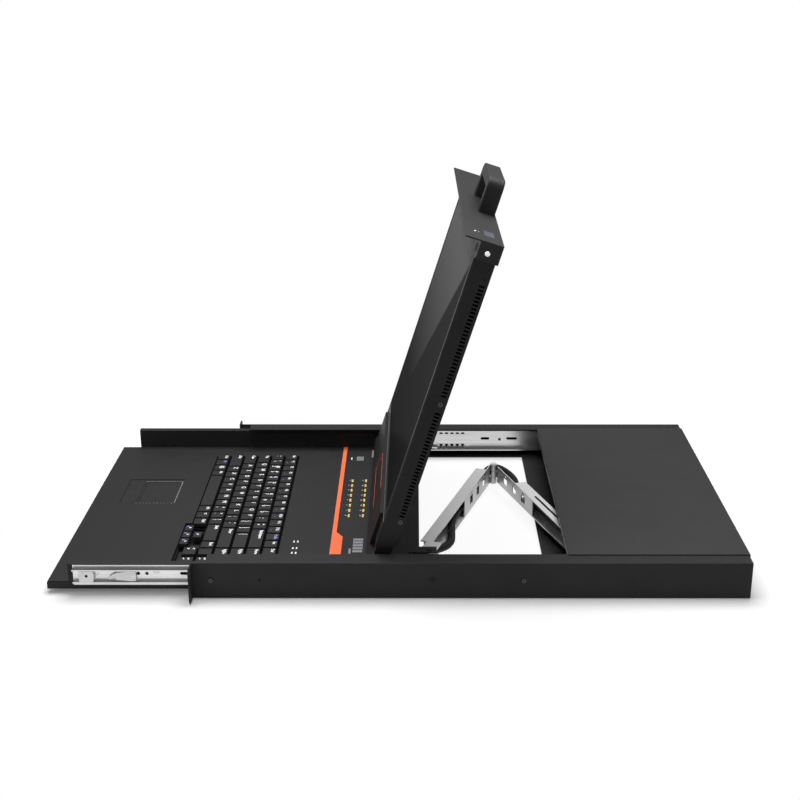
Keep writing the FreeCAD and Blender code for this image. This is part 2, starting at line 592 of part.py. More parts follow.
def slide_bumpers():
    """Soft stops between the race flanges of the tray members, with their fixing holes."""
    label = "slide_bumper"
    rise = "(inner_tall / 2 - inner_lip - fit)"
    blank = block(label + "_blank", (inward("slide_deep - slide_steel"), inward("slide_steel + mid_steel + 2.4")),
                  ("bumper_start", "bumper_start + bumper_long"), (f"{SLIDE_MID} - {rise}", f"{SLIDE_MID} + {rise}"))
    hole = rod(label + "_hole", "x", "2", ("bumper_start + bumper_long * 0.52", f"{SLIDE_MID} + 1"),
               inward("slide_deep"), inward("0"))
    return pair("slide_bumpers", [minus(label, blank, [hole])])


def release_lever(label):
    """Slide release: a thumb block with a sprung arm ahead of it, on the tray member's pin."""
    rise = "(inner_tall / 2 - inner_lip - 2 * fit)"
    x = (inward("slide_deep - slide_steel - fit"), inward("slide_steel + mid_steel + 3"))
    thumb = block(label + "_thumb", x, ("lever_start + lever_long / 3", "lever_start + lever_long"),
                  (f"{SLIDE_MID} - {rise} + 2", f"{SLIDE_MID} + {rise} - 1.4"))
    arm = block(label + "_arm", x, ("lever_start", "lever_start + lever_long / 2"),
                (f"{SLIDE_MID} + 0.4", f"{SLIDE_MID} + 3"))
    bore = rod(label + "_bore", "x", "lever_pin + running", ("lever_pivot", SLIDE_MID),
               inward("slide_deep"), inward("0"))
    return minus(label, joined(label + "_blank", [thumb, arm]), [bore])


# ---------------------------------------------------------------- tray

def tray_pan():
    """Bottom tray: folded front and rear edges carry the deck, and a step behind carries the cable."""
    inside = "(tray_half - side_steel)"
    body = new_body("tray_pan")
    pad(body, "YZ_Plane", [
        ("tray_front", PAN_UNDER), ("tray_step", PAN_UNDER), ("tray_step", PAN_TOP), ("tray_rear", PAN_TOP),
        ("tray_rear", DECK_UNDER),
        ("tray_rear - plate_steel", DECK_UNDER), ("tray_rear - plate_steel", PAN_TOP),
        ("tray_front + plate_steel", PAN_TOP), ("tray_front + plate_steel", DECK_UNDER),
        ("tray_front", DECK_UNDER)], f"-{inside}", inside)
    pocket(body, "XY_Plane", [box_corners("arm_x - 10", "arm_x + 10", "tray_rear", "tray_step + 1")], [],
           f"{PAN_UNDER} - 1", f"{PAN_TOP} + 1")
    return keep(body)


def tray_side(label):
    """Side sheet: wall, out-turned top flange over the slide, in-turned foot under the pan."""
    wall, inside = "tray_half", "(tray_half - side_steel)"
    low, top = f"({FLOOR} + tray_up)", f"({FLOOR} + side_top)"
    body = new_body(label)
    pad(body, "XZ_Plane", [
        (f"{inside} - side_foot", low), (wall, low), (wall, f"{top} - side_steel"),
        (f"{wall} + side_flange", f"{top} - side_steel"), (f"{wall} + side_flange", top), (inside, top),
        (inside, f"{low} + side_steel"), (f"{inside} - side_foot", f"{low} + side_steel"),
    ], "side_start", "tray_rear")
    pad(body, "XZ_Plane", [
        (f"{inside} - side_foot", low), (wall, low), (wall, DECK_UNDER), (inside, DECK_UNDER),
        (inside, f"{low} + side_steel"), (f"{inside} - side_foot", f"{low} + side_steel"),
    ], "tray_front", "side_start")
    rounded(body, "side_steel * 0.8", lambda edge: abs(edge.Length - size("tray_rear") + size("side_start")) < 0.01
            and abs(edge.CenterOfMass.x - size("tray_half") + size("side_steel")) < 0.01
            and edge.CenterOfMass.z > 10)
    pocket(body, "YZ_Plane", [], [(f"{y}", f"{low} + 12", "screw") for y in (-110, -95, 95, 110)],
           f"{inside} - 1", f"{wall} + 1")
    return body


def tray_deck():
    """Top panel of the tray, cut out for the keyboard, touchpad and select button."""
    inside = "(tray_half - side_steel)"
    body = new_body("tray_deck")
    keys = [("-keys_half", "keys_front"), ("bump_start", "keys_front"), ("bump_start", "keys_front - keys_bump"),
            ("keys_half", "keys_front - keys_bump"), ("keys_half", "keys_rear"), ("-keys_half", "keys_rear")]
    pad(body, "XY_Plane", box_corners(f"-{inside}", inside, "tray_front", "tray_rear"), DECK_UNDER, DECK)
    rounded(body, "deck_steel * 0.8", lambda edge: edge.Length > size("tray_half")
            and abs(edge.CenterOfMass.y - size("tray_front")) < 0.01
            and edge.CenterOfMass.z > size("deck_up") - size("chassis_tall") / 2 - 0.1)
    pocket(body, "XY_Plane", [keys, box_corners("pad_left", "pad_right", "pad_front", "pad_rear"),
                              slot_corners("select_x", "select_y", "select_wide", "select_deep")],
           [], f"{DECK_UNDER} - 1", f"{DECK} + 1")
    return keep(body)


# Key widths in millimetres from left to right, front row first. A negative width leaves a gap.
KEY_ROWS = [
    [19, 19, 19, 19, 100, 19, 19, 19, -63, 23],
    [43] + [19] * 10 + [48, 19, 19],
    [34] + [19] * 11 + [57, 19],
    [29] + [19] * 12 + [43, 19],
    [19] * 13 + [53, 19],
    [19.94] * 16,
]
KEY_EDGE = 21


def key_solid(left, front, wide, deep):
    """A tapered cap lofted between two rectangles, on a square stem."""
    gap, taper = size("key_gap") / 2, size("key_taper")
    top = -size("chassis_tall") / 2 + size("key_top_up")
    low = top - size("key_cap")
    rings = []
    for level, inset in ((low, gap), (top, gap + taper)):
        x0, x1, y0, y1 = left + inset, left + wide - inset, front + inset, front + deep - inset
        rings.append(Part.makePolygon([Vector(x0, y0, level), Vector(x1, y0, level), Vector(x1, y1, level),
                                       Vector(x0, y1, level), Vector(x0, y0, level)]))
    cap = Part.makeLoft(rings, True)
    stem, foot = size("key_stem"), low - size("key_cap") * 0.85
    post = Part.makeBox(stem, stem, low - foot + 0.5, Vector(left + (wide - stem) / 2, front + (deep - stem) / 2, foot))
    return cap.fuse(post)


def key_depth():
    return (size("keys_rear") - size("keys_front") - 2 * size("well_gap")) / len(KEY_ROWS)


def key_row(number):
    """One row of separate keys. The front row also holds the arrow keys."""
    left, deep = -size("keys_half") + size("well_gap"), key_depth()
    front = size("keys_front") + size("well_gap") + number * deep
    solids = []
    for wide in KEY_ROWS[number]:
        if wide > 0:
            solids.append(key_solid(left, front, wide, deep))
        left += abs(wide)
    edge = size("keys_half") - size("well_gap") - KEY_EDGE
    solids.append(key_solid(edge, front, KEY_EDGE, deep))
    if number == 0:
        low = size("keys_front") - size("keys_bump") + size("well_gap")
        half = (front + deep - low) / 2
        for step in range(3):
            solids.append(key_solid(62 + 19 * step, low, 19, half))
        solids.append(key_solid(81, low + half, 19, half))
    return keep(shaped("key_row_%d" % (number + 1), Part.makeCompound(solids)))


def keyboard_base():
    """Board under the keys, with one guide slot for each row's stems."""
    front, deep = "(keys_front + well_gap)", "((keys_rear - keys_front - 2 * well_gap) / 6)"
    body = new_body("keyboard_base")
    pad(body, "XY_Plane", [
        ("-keys_half", "keys_front"), ("bump_start", "keys_front"), ("bump_start", "keys_front - keys_bump"),
        ("keys_half", "keys_front - keys_bump"), ("keys_half", "keys_rear"), ("-keys_half", "keys_rear")],
        PAN_TOP, BOARD_TOP)
    reach = "(keys_half - well_gap - 4)"
    slots = [box_corners(f"-{reach}", reach, f"{front} + {number} * {deep} + {deep} / 2 - key_stem / 2 - fit * 2",
                         f"{front} + {number} * {deep} + {deep} / 2 + key_stem / 2 + fit * 2")
             for number in range(1, 6)]
    slots.append(box_corners(f"-{reach}", "60", f"{front} + {deep} / 2 - key_stem / 2 - fit * 2",
                             f"{front} + {deep} / 2 + key_stem / 2 + fit * 2"))
    slots.append(box_corners("63", reach, "keys_front - keys_bump + well_gap + 2", f"{front} + {deep} - 2"))
    pocket(body, "XY_Plane", slots, [], f"{PAN_TOP} - 1", f"{BOARD_TOP} + 1")
    return keep(body)


def touchpad():
    """Frame in the deck's cut-out, the sensing plate and two click buttons."""
    split_y = "(pad_front + pad_buttons)"
    low, top = PAN_TOP, f"({DECK} - 0.6)"
    frame = new_body("touchpad_frame")
    pad(frame, "XY_Plane", box_corners("pad_left", "pad_right", "pad_front", "pad_rear"), low, top)
    plate_hole = ("pad_left + 3 * pad_edge", "pad_right - pad_edge", f"{split_y} + pad_edge / 2", "pad_rear - 2 * pad_edge")
    button_rear = f"({split_y} - pad_edge / 3)"
    pocket(frame, "XY_Plane", [box_corners(*plate_hole)], [], f"{top} - 1.6", f"{top} + 1")
    pocket(frame, "XY_Plane", [box_corners("pad_left + pad_edge", "pad_right - pad_edge", "pad_front + pad_edge / 3",
                                           button_rear)], [], f"{low} + 0.8", f"{top} + 1")
    plate = block("touchpad_plate", (f"{plate_hole[0]} + 0.2", f"{plate_hole[1]} - 0.2"),
                  (f"{plate_hole[2]} + 0.2", f"{plate_hole[3]} - 0.2"), (f"{top} - 1.6", f"{top} - 0.5"))
    keep(frame, plate)
    for name, left, right in (("left", "pad_left + pad_edge + fit", "pad_split - fit"),
                              ("right", "pad_split + fit", "pad_right - pad_edge - fit")):
        button = new_body("touchpad_button_" + name)
        pad(button, "XY_Plane", box_corners(left, right, "pad_front + pad_edge / 3 + fit", f"{button_rear} - fit"),
            f"{low} + 2.4", f"{top} + 0.3")
        rounded(button, "0.6", lambda edge: edge.CenterOfMass.z > size("deck_up") - size("chassis_tall") / 2 - 0.4
                and edge.Length > 10)
        keep(button)


def select_button():
    body = new_body("select_button")
    pad(body, "XY_Plane", slot_corners("select_x", "select_y", "(select_wide - 2 * fit)", "(select_deep - 2 * fit)"),
        f"{PAN_TOP} + 1.6", f"{DECK} + 0.2")
    rounded(body, "0.5", lambda edge: edge.CenterOfMass.z > size("deck_up") - size("chassis_tall") / 2 + 0.1)
    return keep(body)


def accent_stripe():
    """Coloured stripe across the deck that widens towards the right."""
    edge = "(tray_half - side_steel - fit)"
    rear, wide = "(stripe_front + stripe_wide)", "(stripe_front + stripe_block)"
    body = new_body("accent_stripe")
    pad(body, "XY_Plane", [(f"-{edge}", "stripe_front"), (edge, "stripe_front"), (edge, wide),
                           ("stripe_bend + stripe_block + fit", wide), ("stripe_bend", rear), (f"-{edge}", rear)],
        DECK, f"{DECK} + stripe_thick")
    return keep(body)


def channel_lamps():
    """A two-colour lamp for each channel, in two rows, and the keyboard's lock lamps."""
    height = (DECK, f"{DECK} + stripe_thick")
    lamps = []
    for row in range(2):
        for column in range(int(size("lamp_count"))):
            x = f"(lamp_first + {column} * lamp_pitch)"
            y = f"(lamp_row + {row} * lamp_row_gap)"
            lamps.append(block("lamp_lens_%d_%d" % (row, column), (f"{x} + 1", f"{x} + 9.5"),
                               (f"{y} + 1.1", f"{y} + 3.5"), height))
    for number, (x, y) in enumerate((x, y) for x in (105, 123, 136) for y in (103.5, 108)):
        lamps.append(block("lock_lamp%d" % number, (f"{x} - 2.5", f"{x} + 2.5"), (f"{y}", f"{y} + 2.2"), height))
    return keep(group("channel_lamps", lamps))


ARM_REAR_X = "(arm_x + (arm_rear_long - arm_long) * cos(arm_fold * 1 deg))"
ARM_REAR_Y = "(arm_y + (arm_long + arm_rear_long) * sin(arm_fold * 1 deg))"


def fork(label, x, pivot, back, turn, foot):
    """Two plates over and under a pivot, joined by an upright. turn is the side the pivot lies on."""
    low, high = f"({FLOOR} + arm_low)", f"({FLOOR} + arm_high)"
    reach = (back, f"{pivot} + arm_tab + 1") if turn > 0 else (f"{pivot} - 3.5 * arm_tab", back)
    upright = (back, f"{back} + arm_steel") if turn > 0 else (f"{back} - arm_steel", back)
    return [block(label + "_top", x, reach, (f"{high} + fit", f"{high} + fit + arm_steel")),
            block(label + "_low", x, reach, (f"{low} - fit - arm_steel", f"{low} - fit")),
            block(label + "_upright", x, upright, (foot, f"{high} + fit + arm_steel"))]


def arm_brackets():
    """Forks for the two ends of the cable arm: the front one carries its pin, the rear one is slotted."""
    low, high = f"({FLOOR} + arm_low - fit - arm_steel)", f"({FLOOR} + arm_high + fit + arm_steel)"
    pin = [rod("arm_pin_shank", "z", "arm_pin - 0.1", ("arm_x", "arm_y"), low, high),
           rod("arm_pin_head", "z", "arm_pin + 1.6", ("arm_x", "arm_y"), high, f"{high} + 1")]
    front = fork("arm_bracket_front", ("arm_x - 7.5", "arm_x + 7.5"), "arm_y", "tray_rear", 1, PAN_UNDER)
    keep(joined("arm_bracket_front", front + pin))
    x, back = (f"{ARM_REAR_X} - 11", f"{ARM_REAR_X} + 11"), f"({ARM_REAR_Y} + 18)"
    rear = fork("arm_bracket_rear", x, ARM_REAR_Y, back, -1, FLOOR_TOP)
    rear.append(block("arm_bracket_rear_foot", x, (f"{back} - arm_steel", f"{back} + 9"),
                      (FLOOR_TOP, f"{FLOOR_TOP} + arm_steel")))
    window = block("arm_bracket_rear_window", (f"{ARM_REAR_X} - 8.8", f"{ARM_REAR_X} + 4.4"),
                   (f"{ARM_REAR_Y} - 3 * arm_tab", f"{ARM_REAR_Y} + 4.4"), (f"{low} - 1", f"{high} + 1"))
    keep(minus("arm_bracket_rear", joined("arm_bracket_rear_blank", rear), [window]))


# ---------------------------------------------------------------- display hinges and display

def hinge_brackets():
    """Upright leaves beside the display with feet on the deck, each with its torque barrel."""
    inside = "(tray_half - side_steel)"
    leaf = block("hinge_leaf", (f"{inside} - hinge_plate", inside), ("hinge_y - 16", "hinge_y + 24"),
                 (DECK, f"{HINGE_Z} + 7"))
    foot = block("hinge_foot", ("display_half + 2", inside), ("hinge_y + 14", "hinge_y + 34"),
                 (DECK, f"{DECK} + hinge_plate"))
    barrel = rod("hinge_barrel", "x", "6.5", ("hinge_y", HINGE_Z), "display_half - foot_inset + fit",
                 f"{inside} - hinge_plate + 0.5")
    pin = rod("hinge_pin", "x", "hinge_pin", ("hinge_y", HINGE_Z), "display_half - foot_inset - 10",
              "display_half")
    return pair("hinge_brackets", [joined("hinge_bracket", [leaf, foot, barrel, pin])])


def on_display(piece):
    """Stands a piece that was built upright, with the hinge axis at the origin, in its leaning place."""
    piece.Placement = FreeCAD.Placement(Vector(), FreeCAD.Rotation(Vector(-1, 0, 0), size("display_lean")))
    piece.setExpression("Placement.Base.y", formula("hinge_y"))
    piece.setExpression("Placement.Base.z", formula(HINGE_Z))
    piece.setExpression("Placement.Rotation.Angle", formula("display_lean"))
    return keep(piece)


def display_shell():
    """Back, sides and rounded foot of the display, vented along both sides."""
    wall = "shell_wall"
    face = "(-display_face + bezel_thick)"
    foot_half = "(display_half - foot_inset)"
    out = new_body("display_shell_out")
    pad(out, "YZ_Plane", [(face, "foot_front"), ("display_back", "foot_back"), ("display_back", "display_long"),
                          (face, "display_long")], "-display_half", "display_half")
    foot = rod("display_shell_foot", "x", "barrel", ("0", "0"), f"-{foot_half}", foot_half)
    neck = block("display_shell_neck", (f"-{foot_half}", foot_half), (face, "barrel"), ("0", "foot_back + 3"))
    hollow = block("display_shell_hollow", (f"-display_half + {wall}", f"display_half - {wall}"),
                   (f"{face} - 20", f"display_back - {wall}"), ("foot_back + 6", f"display_long - {wall}"))
    seat = block("display_shell_seat", ("-display_half - 1", "display_half + 1"), ("-barrel - 1", face),
                 ("chin_low - 2.5", "foot_back + 7"))
    bore = rod("display_shell_bore", "x", "hinge_pin + running", ("0", "0"), "display_half - 18",
               "display_half + 1")
    tools = [hollow, seat, bore, mirrored("display_shell_bore_twin", bore)]
    for number in range(int((size("vent_last") - size("vent_first")) / size("vent_pitch")) + 1):
        if abs(size("vent_first") + number * size("vent_pitch") - size("vent_gap")) < size("vent_gap_half"):
            continue
        z = f"(vent_first + {number} * vent_pitch)"
        tools.append(block("display_vent%d" % number, ("-display_half - 1", "display_half + 1"),
                           ("display_back - vent_from_back - vent_long / 2", "display_back - vent_from_back + vent_long / 2"),
                           (f"{z} - vent_high / 2", f"{z} + vent_high / 2")))
    return on_display(minus("display_shell", joined("display_shell_blank", [out, foot, neck]), tools))


def display_chin():
    """Front panel under the screen, with the bar that stands out of it."""
    body = new_body("display_chin")
    face = "(-display_face + bezel_thick)"
    pad(body, "YZ_Plane", box_corners("-display_face", face, "foot_front", "chin_long"), "-display_half", "display_half")
    pad(body, "YZ_Plane", [(face, "chin_low + 4"), (face, "chin_long"), ("-display_face", "chin_long"),
                           ("-chin_out", "chin_long - 1.5"), ("-chin_out", "chin_low"), ("-barrel + 1", "chin_low - 2"),
                           ("-display_face", "chin_low - 2")], "-chin_half", "chin_half")
    return on_display(body)


def display_bezel():
    body = new_body("display_bezel")
    top = "(screen_up + screen_tall)"
    pad(body, "XZ_Plane", box_corners("-display_half", "display_half", "chin_long", "display_long"),
        "-display_face", "-display_face + bezel_thick")
    pocket(body, "XZ_Plane", [box_corners("-screen_wide / 2", "screen_wide / 2", "screen_up", top)], [],
           "-display_face - 1", "-display_face + bezel_thick + 1")
    return on_display(body)


def screen_parts():
    low, top = "screen_up", "screen_up + screen_tall"
    x = ("-screen_wide / 2 + fit", "screen_wide / 2 - fit")
    back = "(-display_face + bezel_thick)"
    glass = new_body("screen_glass")
    pad(glass, "XZ_Plane", box_corners(*x, f"{low} + fit", f"{top} - fit"), f"{back} - glass_thick", back)
    module = block("screen_panel", ("-screen_wide / 2 - 5", "screen_wide / 2 + 5"), (back, f"{back} + module_thick"),
                   (f"{low} - 5", f"{top} + 7"))
    driver = block("screen_driver", ("-90", "90"), (f"{back} + module_thick + 1.6", f"{back} + module_thick + 3.2"),
                   (f"{low} + 20", f"{low} + 110"))
    posts = [rod("screen_driver_post_%d_%d" % (x + 100, z), "y", "2.5", (f"{x}", f"{z}"), f"{back} + module_thick",
                 f"{back} + module_thick + 1.6") for x in (-84, 84) for z in (112, 190)]
    on_display(glass)
    on_display(group("screen_module", [module, joined("screen_driver_board", [driver] + posts)]))


def front_cap():
    """Fascia that closes the opening between the rack ears, on a box across the display's top.

    The box is open at the back of its floor, where the lamp's wires pass."""
    body = new_body("front_cap")
    pad(body, "YZ_Plane", box_corners("-cap_front", "cap_back", "cap_long - cap_steel", "cap_long"), "-cap_half",
        "cap_half")
    pad(body, "YZ_Plane", box_corners("-cap_box", "cap_back", "display_long", "cap_long - cap_steel"), "-cap_half",
        "cap_half")
    pocket(body, "YZ_Plane", [box_corners("-cap_box + cap_steel", "cap_back - cap_steel",
                                          "display_long + cap_steel", "cap_long - cap_steel")],
           [], "-cap_half + cap_steel", "cap_half - cap_steel")
    pocket(body, "XY_Plane", [box_corners("60", "100", "-4", "8")], [], "display_long - 1", "display_long + cap_steel + 1")
    return on_display(body)


def pull_handle():
    """Arched pull with a finger gap."""
    deep = ("-grip_deep + grip_back", "grip_back")
    body = new_body("pull_handle")
    pad(body, "XZ_Plane", box_corners("-grip_half", "grip_half", "cap_long", "cap_long + grip_out"), *deep)
    rounded(body, "grip_corner", lambda edge: abs(edge.Length - size("grip_deep")) < 0.01
            and edge.CenterOfMass.z > size("cap_long") + size("grip_out") - 1)
    pocket(body, "XZ_Plane", [box_corners("-grip_half + grip_leg", "grip_half - grip_leg", "cap_long - 1",
                                          "cap_long + grip_out - grip_bar")], [],
           f"{deep[0]} - 1", f"{deep[1]} + 1")
    rounded(body, "2", lambda edge: edge.Length > 8 and (
        abs(edge.CenterOfMass.y - size("grip_back")) < 0.01
        or abs(edge.CenterOfMass.y - size("grip_back") + size("grip_deep")) < 0.01)
        and edge.CenterOfMass.z > size("cap_long") + 1)
    return on_display(body)


# ---------------------------------------------------------------- cable arm

def on_arm(piece, end):
    """Swings a link, built with its outer pivot at the origin and its elbow along +X, into place."""
    turn, x, y = {"front": ("180 deg - arm_fold * 1 deg", "arm_x", "arm_y"),
                  "rear": ("180 deg + arm_fold * 1 deg", ARM_REAR_X, ARM_REAR_Y)}[end]
    now = 180 - size("arm_fold") if end == "front" else 180 + size("arm_fold")
    piece.Placement = FreeCAD.Placement(Vector(), FreeCAD.Rotation(Vector(0, 0, 1), now))
    piece.setExpression("Placement.Base.x", formula(x))
    piece.setExpression("Placement.Base.y", formula(y))
    piece.setExpression("Placement.Base.z", formula(FLOOR))
    piece.setExpression("Placement.Rotation.Angle", formula(turn))
    return keep(piece)


def across(end, near, far):
    """A span across the link. The front link's channel lies on its left, the rear link's on its right."""
    return (near, far) if end == "front" else (f"-({far})", f"-({near})")


def arm_link(end):
    """Link of the cable arm: a channel, a leaf that closes its elbow half, and the hinge knuckles.

    The rear link is less tall, so that it nests inside the front one when the arm is folded."""
    name = "arm_link_" + end
    front = end == "front"
    long, tab, start, stop = ("arm_long", "24", 34, 21) if front else ("arm_rear_long", "16", 40, 66)
    low, high = ("arm_low", "arm_high") if front else ("(arm_low + arm_nest)", "(arm_high - arm_nest)")
    back = "(leaf_gap + channel_deep)"
    leaf = across(end, "leaf_gap - arm_steel", "leaf_gap")
    run = (f"{start}", f"{long} - {stop}")
    pieces = [block(name + "_web", run, across(end, f"{back} - arm_steel", back), (low, high)),
              block(name + "_leaf", (f"{long} - leaf_long", f"{long} - 6"), leaf, (low, high))]
    for level, plate in (("low", (low, f"{low} + arm_steel")), ("top", (f"{high} - arm_steel", high))):
        pieces.append(block(f"{name}_flange_{level}", run, across(end, "leaf_gap - arm_steel", back), plate))
        pieces.append(block(f"{name}_tab_{level}", ("0", tab), across(end, "-arm_tab", "arm_tab + leaf_gap"), plate))
        pieces.append(block(f"{name}_neck_{level}", (f"{tab} - 2", f"{start + 2}"),
                            across(end, "leaf_gap - arm_steel", back), plate))
        pieces.append(rod(f"{name}_eye_{level}", "z", "arm_tab", ("0", "0"), *plate))
    third = "((arm_high - arm_low) / 3)"
    if front:
        knuckles = [(low, f"{low} + {third} - fit"), (f"{high} - {third} + fit", high)]
    else:
        knuckles = [(f"arm_low + {third}", f"arm_high - {third}")]
    for number, span in enumerate(knuckles):
        pieces.append(rod(f"{name}_knuckle{number}", "z", "knuckle", (long, "0"), *span))
        pieces.append(block(f"{name}_strap{number}", (f"{long} - 8", long), leaf, span))
    tools = [rod(name + "_elbow_bore", "z", "arm_pin", (long, "0"), "arm_low - 1", "arm_high + 1"),
             rod(name + "_bore", "z", "arm_pin", ("0", "0"), "arm_low - 1", "arm_high + 1")]
    middle = "(arm_low + arm_high) / 2"
    for step in range(3):
        tools.append(block(f"{name}_tie{step}", (f"{60 + 50 * step}", f"{72 + 50 * step}"),
                           across(end, f"{back} - 4", f"{back} + 1"), (f"{middle} - 2", f"{middle} + 2")))
        tools.append(block(f"{name}_slot{step}", (f"{long} - {40 + 30 * step}", f"{long} - {28 + 30 * step}"),
                           across(end, "leaf_gap - 4", "leaf_gap + 1"), (f"{low} + 7", f"{high} - 7")))
        tools.append(block(f"{name}_loop{step}", (f"{long} - {37 + 30 * step}", f"{long} - {31 + 30 * step}"),
                           across(end, "leaf_gap - 4", "leaf_gap + 1"), (f"{high} - 5", f"{high} - 3")))
    link = minus(name + "_plain", joined(name + "_blank", pieces), tools)
    reach = "1.2" if front else "(2 * fit + arm_steel)"
    low, high = f"arm_low - {reach}", f"arm_high + {reach}"
    pin = rod(name + "_pin", "z", "arm_pin - 0.1", (long if front else "0", "0"), low, high)
    if front:
        pin = joined(name + "_pin_whole", [
            pin, rod(name + "_pin_head", "z", "knuckle - 1", (long, "0"), "arm_high", high),
            rod(name + "_pin_foot", "z", "knuckle - 1", (long, "0"), low, "arm_low")])
    return on_arm(group(name, [link, pin]), end)


def tube(points, radius):
    """A round cable along straight runs joined by tangent arcs."""
    edges, here = [], points[0]
    for before, corner, after in zip(points, points[1:], points[2:]):
        back, ahead = (before - corner), (after - corner)
        turn = math.pi - back.getAngle(ahead)
        reach = 0.48 * min(back.Length, ahead.Length)
        back.normalize()
        ahead.normalize()
        start, stop = corner + back * reach, corner + ahead * reach
        bend = reach / math.tan(turn / 2)
        middle = back + ahead
        middle.normalize()
        centre = corner + middle * (bend / math.cos(turn / 2))
        edges.append(Part.LineSegment(here, start).toShape())
        edges.append(Part.Arc(start, centre - middle * bend, stop).toShape())
        here = stop
    edges.append(Part.LineSegment(here, points[-1]).toShape())
    path = Part.Wire(edges)
    circle = Part.Wire([Part.makeCircle(radius, points[0], points[1] - points[0])])
    return path.makePipeShell([circle], True, False)


def link_point(end, along, out, up=0):
    """A point given along and out from a link, at a height above the middle of the arm."""
    angle = math.radians(size("arm_fold"))
    front, rear = size("arm_long"), size("arm_rear_long")
    x, y, sign = size("arm_x"), size("arm_y"), 1
    if end == "rear":
        x, y, sign = x + (rear - front) * math.cos(angle), y + (rear + front) * math.sin(angle), -1
    level = -size("chassis_tall") / 2 + (size("arm_low") + size("arm_high")) / 2 + up
    return Vector(x - along * math.cos(angle) - out * math.sin(angle),
                  y + sign * (along * math.sin(angle) - out * math.cos(angle)), level)


def arm_cables():
    """One sleeved cable: tray to front link, round the elbow, along the rear link, to the board."""
    out = size("leaf_gap") + size("channel_deep") / 2
    front, rear = size("arm_long"), size("arm_rear_long")
    level = link_point("front", 0, 0).z
    step = -size("chassis_tall") / 2 + size("tray_up") + size("side_steel") + size("plate_steel")
    foot = Vector(size("arm_x") - 21, (size("tray_rear") + size("tray_step")) / 2 + 0.6, step)
    tray = [foot, Vector(foot.x, foot.y, level), link_point("front", 34, 1), link_point("front", 59, -8),
            link_point("front", 88, 0), link_point("front", 122, out), link_point("front", 168, out)]
    loop = [tray[-1], link_point("front", front - 10, out), link_point("front", front + 22, out - 2),
            link_point("rear", rear + 10, out + 6), link_point("rear", rear - 26, out + 8),
            link_point("rear", rear - 54, out), link_point("rear", rear - 72, out)]
    link = [loop[-1], link_point("rear", 52, out)]
    end = Vector(86, size("board_front") + 10, -size("chassis_tall") / 2 + 18)
    board = [link[-1], link_point("rear", 26, out), Vector(end.x + 36, end.y - 26, level),
             Vector(end.x, end.y - 22, end.z), end]
    for name, points in (("cable_tray", tray), ("cable_elbow", loop), ("cable_link", link), ("cable_board", board)):
        keep(shaped(name, tube(points, size("cable"))))


# ---------------------------------------------------------------- build

both_sides(side_rail, "side_rail")
both_sides(rack_ear, "rack_ear")
chassis_screws()
rear_floor()
rear_panel()
top_cover()
switch_board()
power_supply()
port_connectors()
power_inlet()
power_rocker()
both_sides(slide_outer, "slide_outer")
both_sides(slide_mid, "slide_mid")
both_sides(slide_inner, "slide_inner")
for kind in CAGES:
    ball_cages(kind)
slide_bumpers()
both_sides(release_lever, "release_lever")
tray_pan()
both_sides(tray_side, "tray_side")
tray_deck()
keyboard_base()
for number in range(len(KEY_ROWS)):
    key_row(number)
touchpad()
select_button()
accent_stripe()
channel_lamps()
arm_brackets()
hinge_brackets()
display_shell()
display_chin()
display_bezel()
screen_parts()
front_cap()
pull_handle()
for end in ("front", "rear"):
    arm_link(end)
arm_cables()
doc.recompute()

failed = [item.Label for item in doc.Objects if "Invalid" in item.State or "Error" in item.State]
if failed:
    raise RuntimeError("not built: " + ", ".join(failed))
os.makedirs("parts", exist_ok=True)
for node in NODES:
    if node.Shape.isNull() or not node.Shape.isValid():
        raise RuntimeError("%s has no valid shape" % node.Label)
    node.Shape.exportStep(os.path.join("parts", node.Label + ".step"))
print("%d nodes written" % len(NODES))
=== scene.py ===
import json
import math
import bpy
import bmesh
from mathutils import Matrix, Vector


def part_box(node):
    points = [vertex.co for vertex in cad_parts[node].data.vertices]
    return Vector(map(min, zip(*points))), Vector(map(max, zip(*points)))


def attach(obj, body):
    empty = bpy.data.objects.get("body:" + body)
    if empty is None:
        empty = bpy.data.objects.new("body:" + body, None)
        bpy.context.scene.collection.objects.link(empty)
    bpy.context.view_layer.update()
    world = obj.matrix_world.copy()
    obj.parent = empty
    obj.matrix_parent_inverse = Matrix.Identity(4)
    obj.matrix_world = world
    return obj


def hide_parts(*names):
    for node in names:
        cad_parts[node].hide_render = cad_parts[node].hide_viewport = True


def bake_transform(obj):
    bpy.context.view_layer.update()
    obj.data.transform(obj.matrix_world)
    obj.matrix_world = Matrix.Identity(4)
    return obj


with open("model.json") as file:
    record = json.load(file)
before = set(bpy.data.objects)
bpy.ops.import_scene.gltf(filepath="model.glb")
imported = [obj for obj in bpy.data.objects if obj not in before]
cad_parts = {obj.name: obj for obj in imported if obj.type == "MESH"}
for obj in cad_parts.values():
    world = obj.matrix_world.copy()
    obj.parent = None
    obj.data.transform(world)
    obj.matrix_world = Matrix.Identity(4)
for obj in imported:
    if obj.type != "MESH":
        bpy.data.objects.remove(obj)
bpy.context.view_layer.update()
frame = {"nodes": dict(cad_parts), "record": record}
scene = bpy.context.scene
nodes = frame["nodes"]
print("frame loaded:", len(nodes), "nodes")


def feed(tree, socket, value):
    # a link from another node, or a plain value
    if isinstance(value, bpy.types.NodeSocket):
        tree.links.new(value, socket)
    else:
        socket.default_value = value


def addNode(tree, kind, values=None, **settings):
    node = tree.nodes.new(kind)
    for name, value in settings.items():
        setattr(node, name, value)
    for key, value in (values or {}).items():
        feed(tree, node.inputs[key], value)
    return node


def compute(tree, operation, *values):
    return addNode(tree, "ShaderNodeMath", dict(enumerate(values)), operation=operation).outputs[0]


def objectPlace(tree):
    return addNode(tree, "ShaderNodeTexCoord").outputs["Object"]


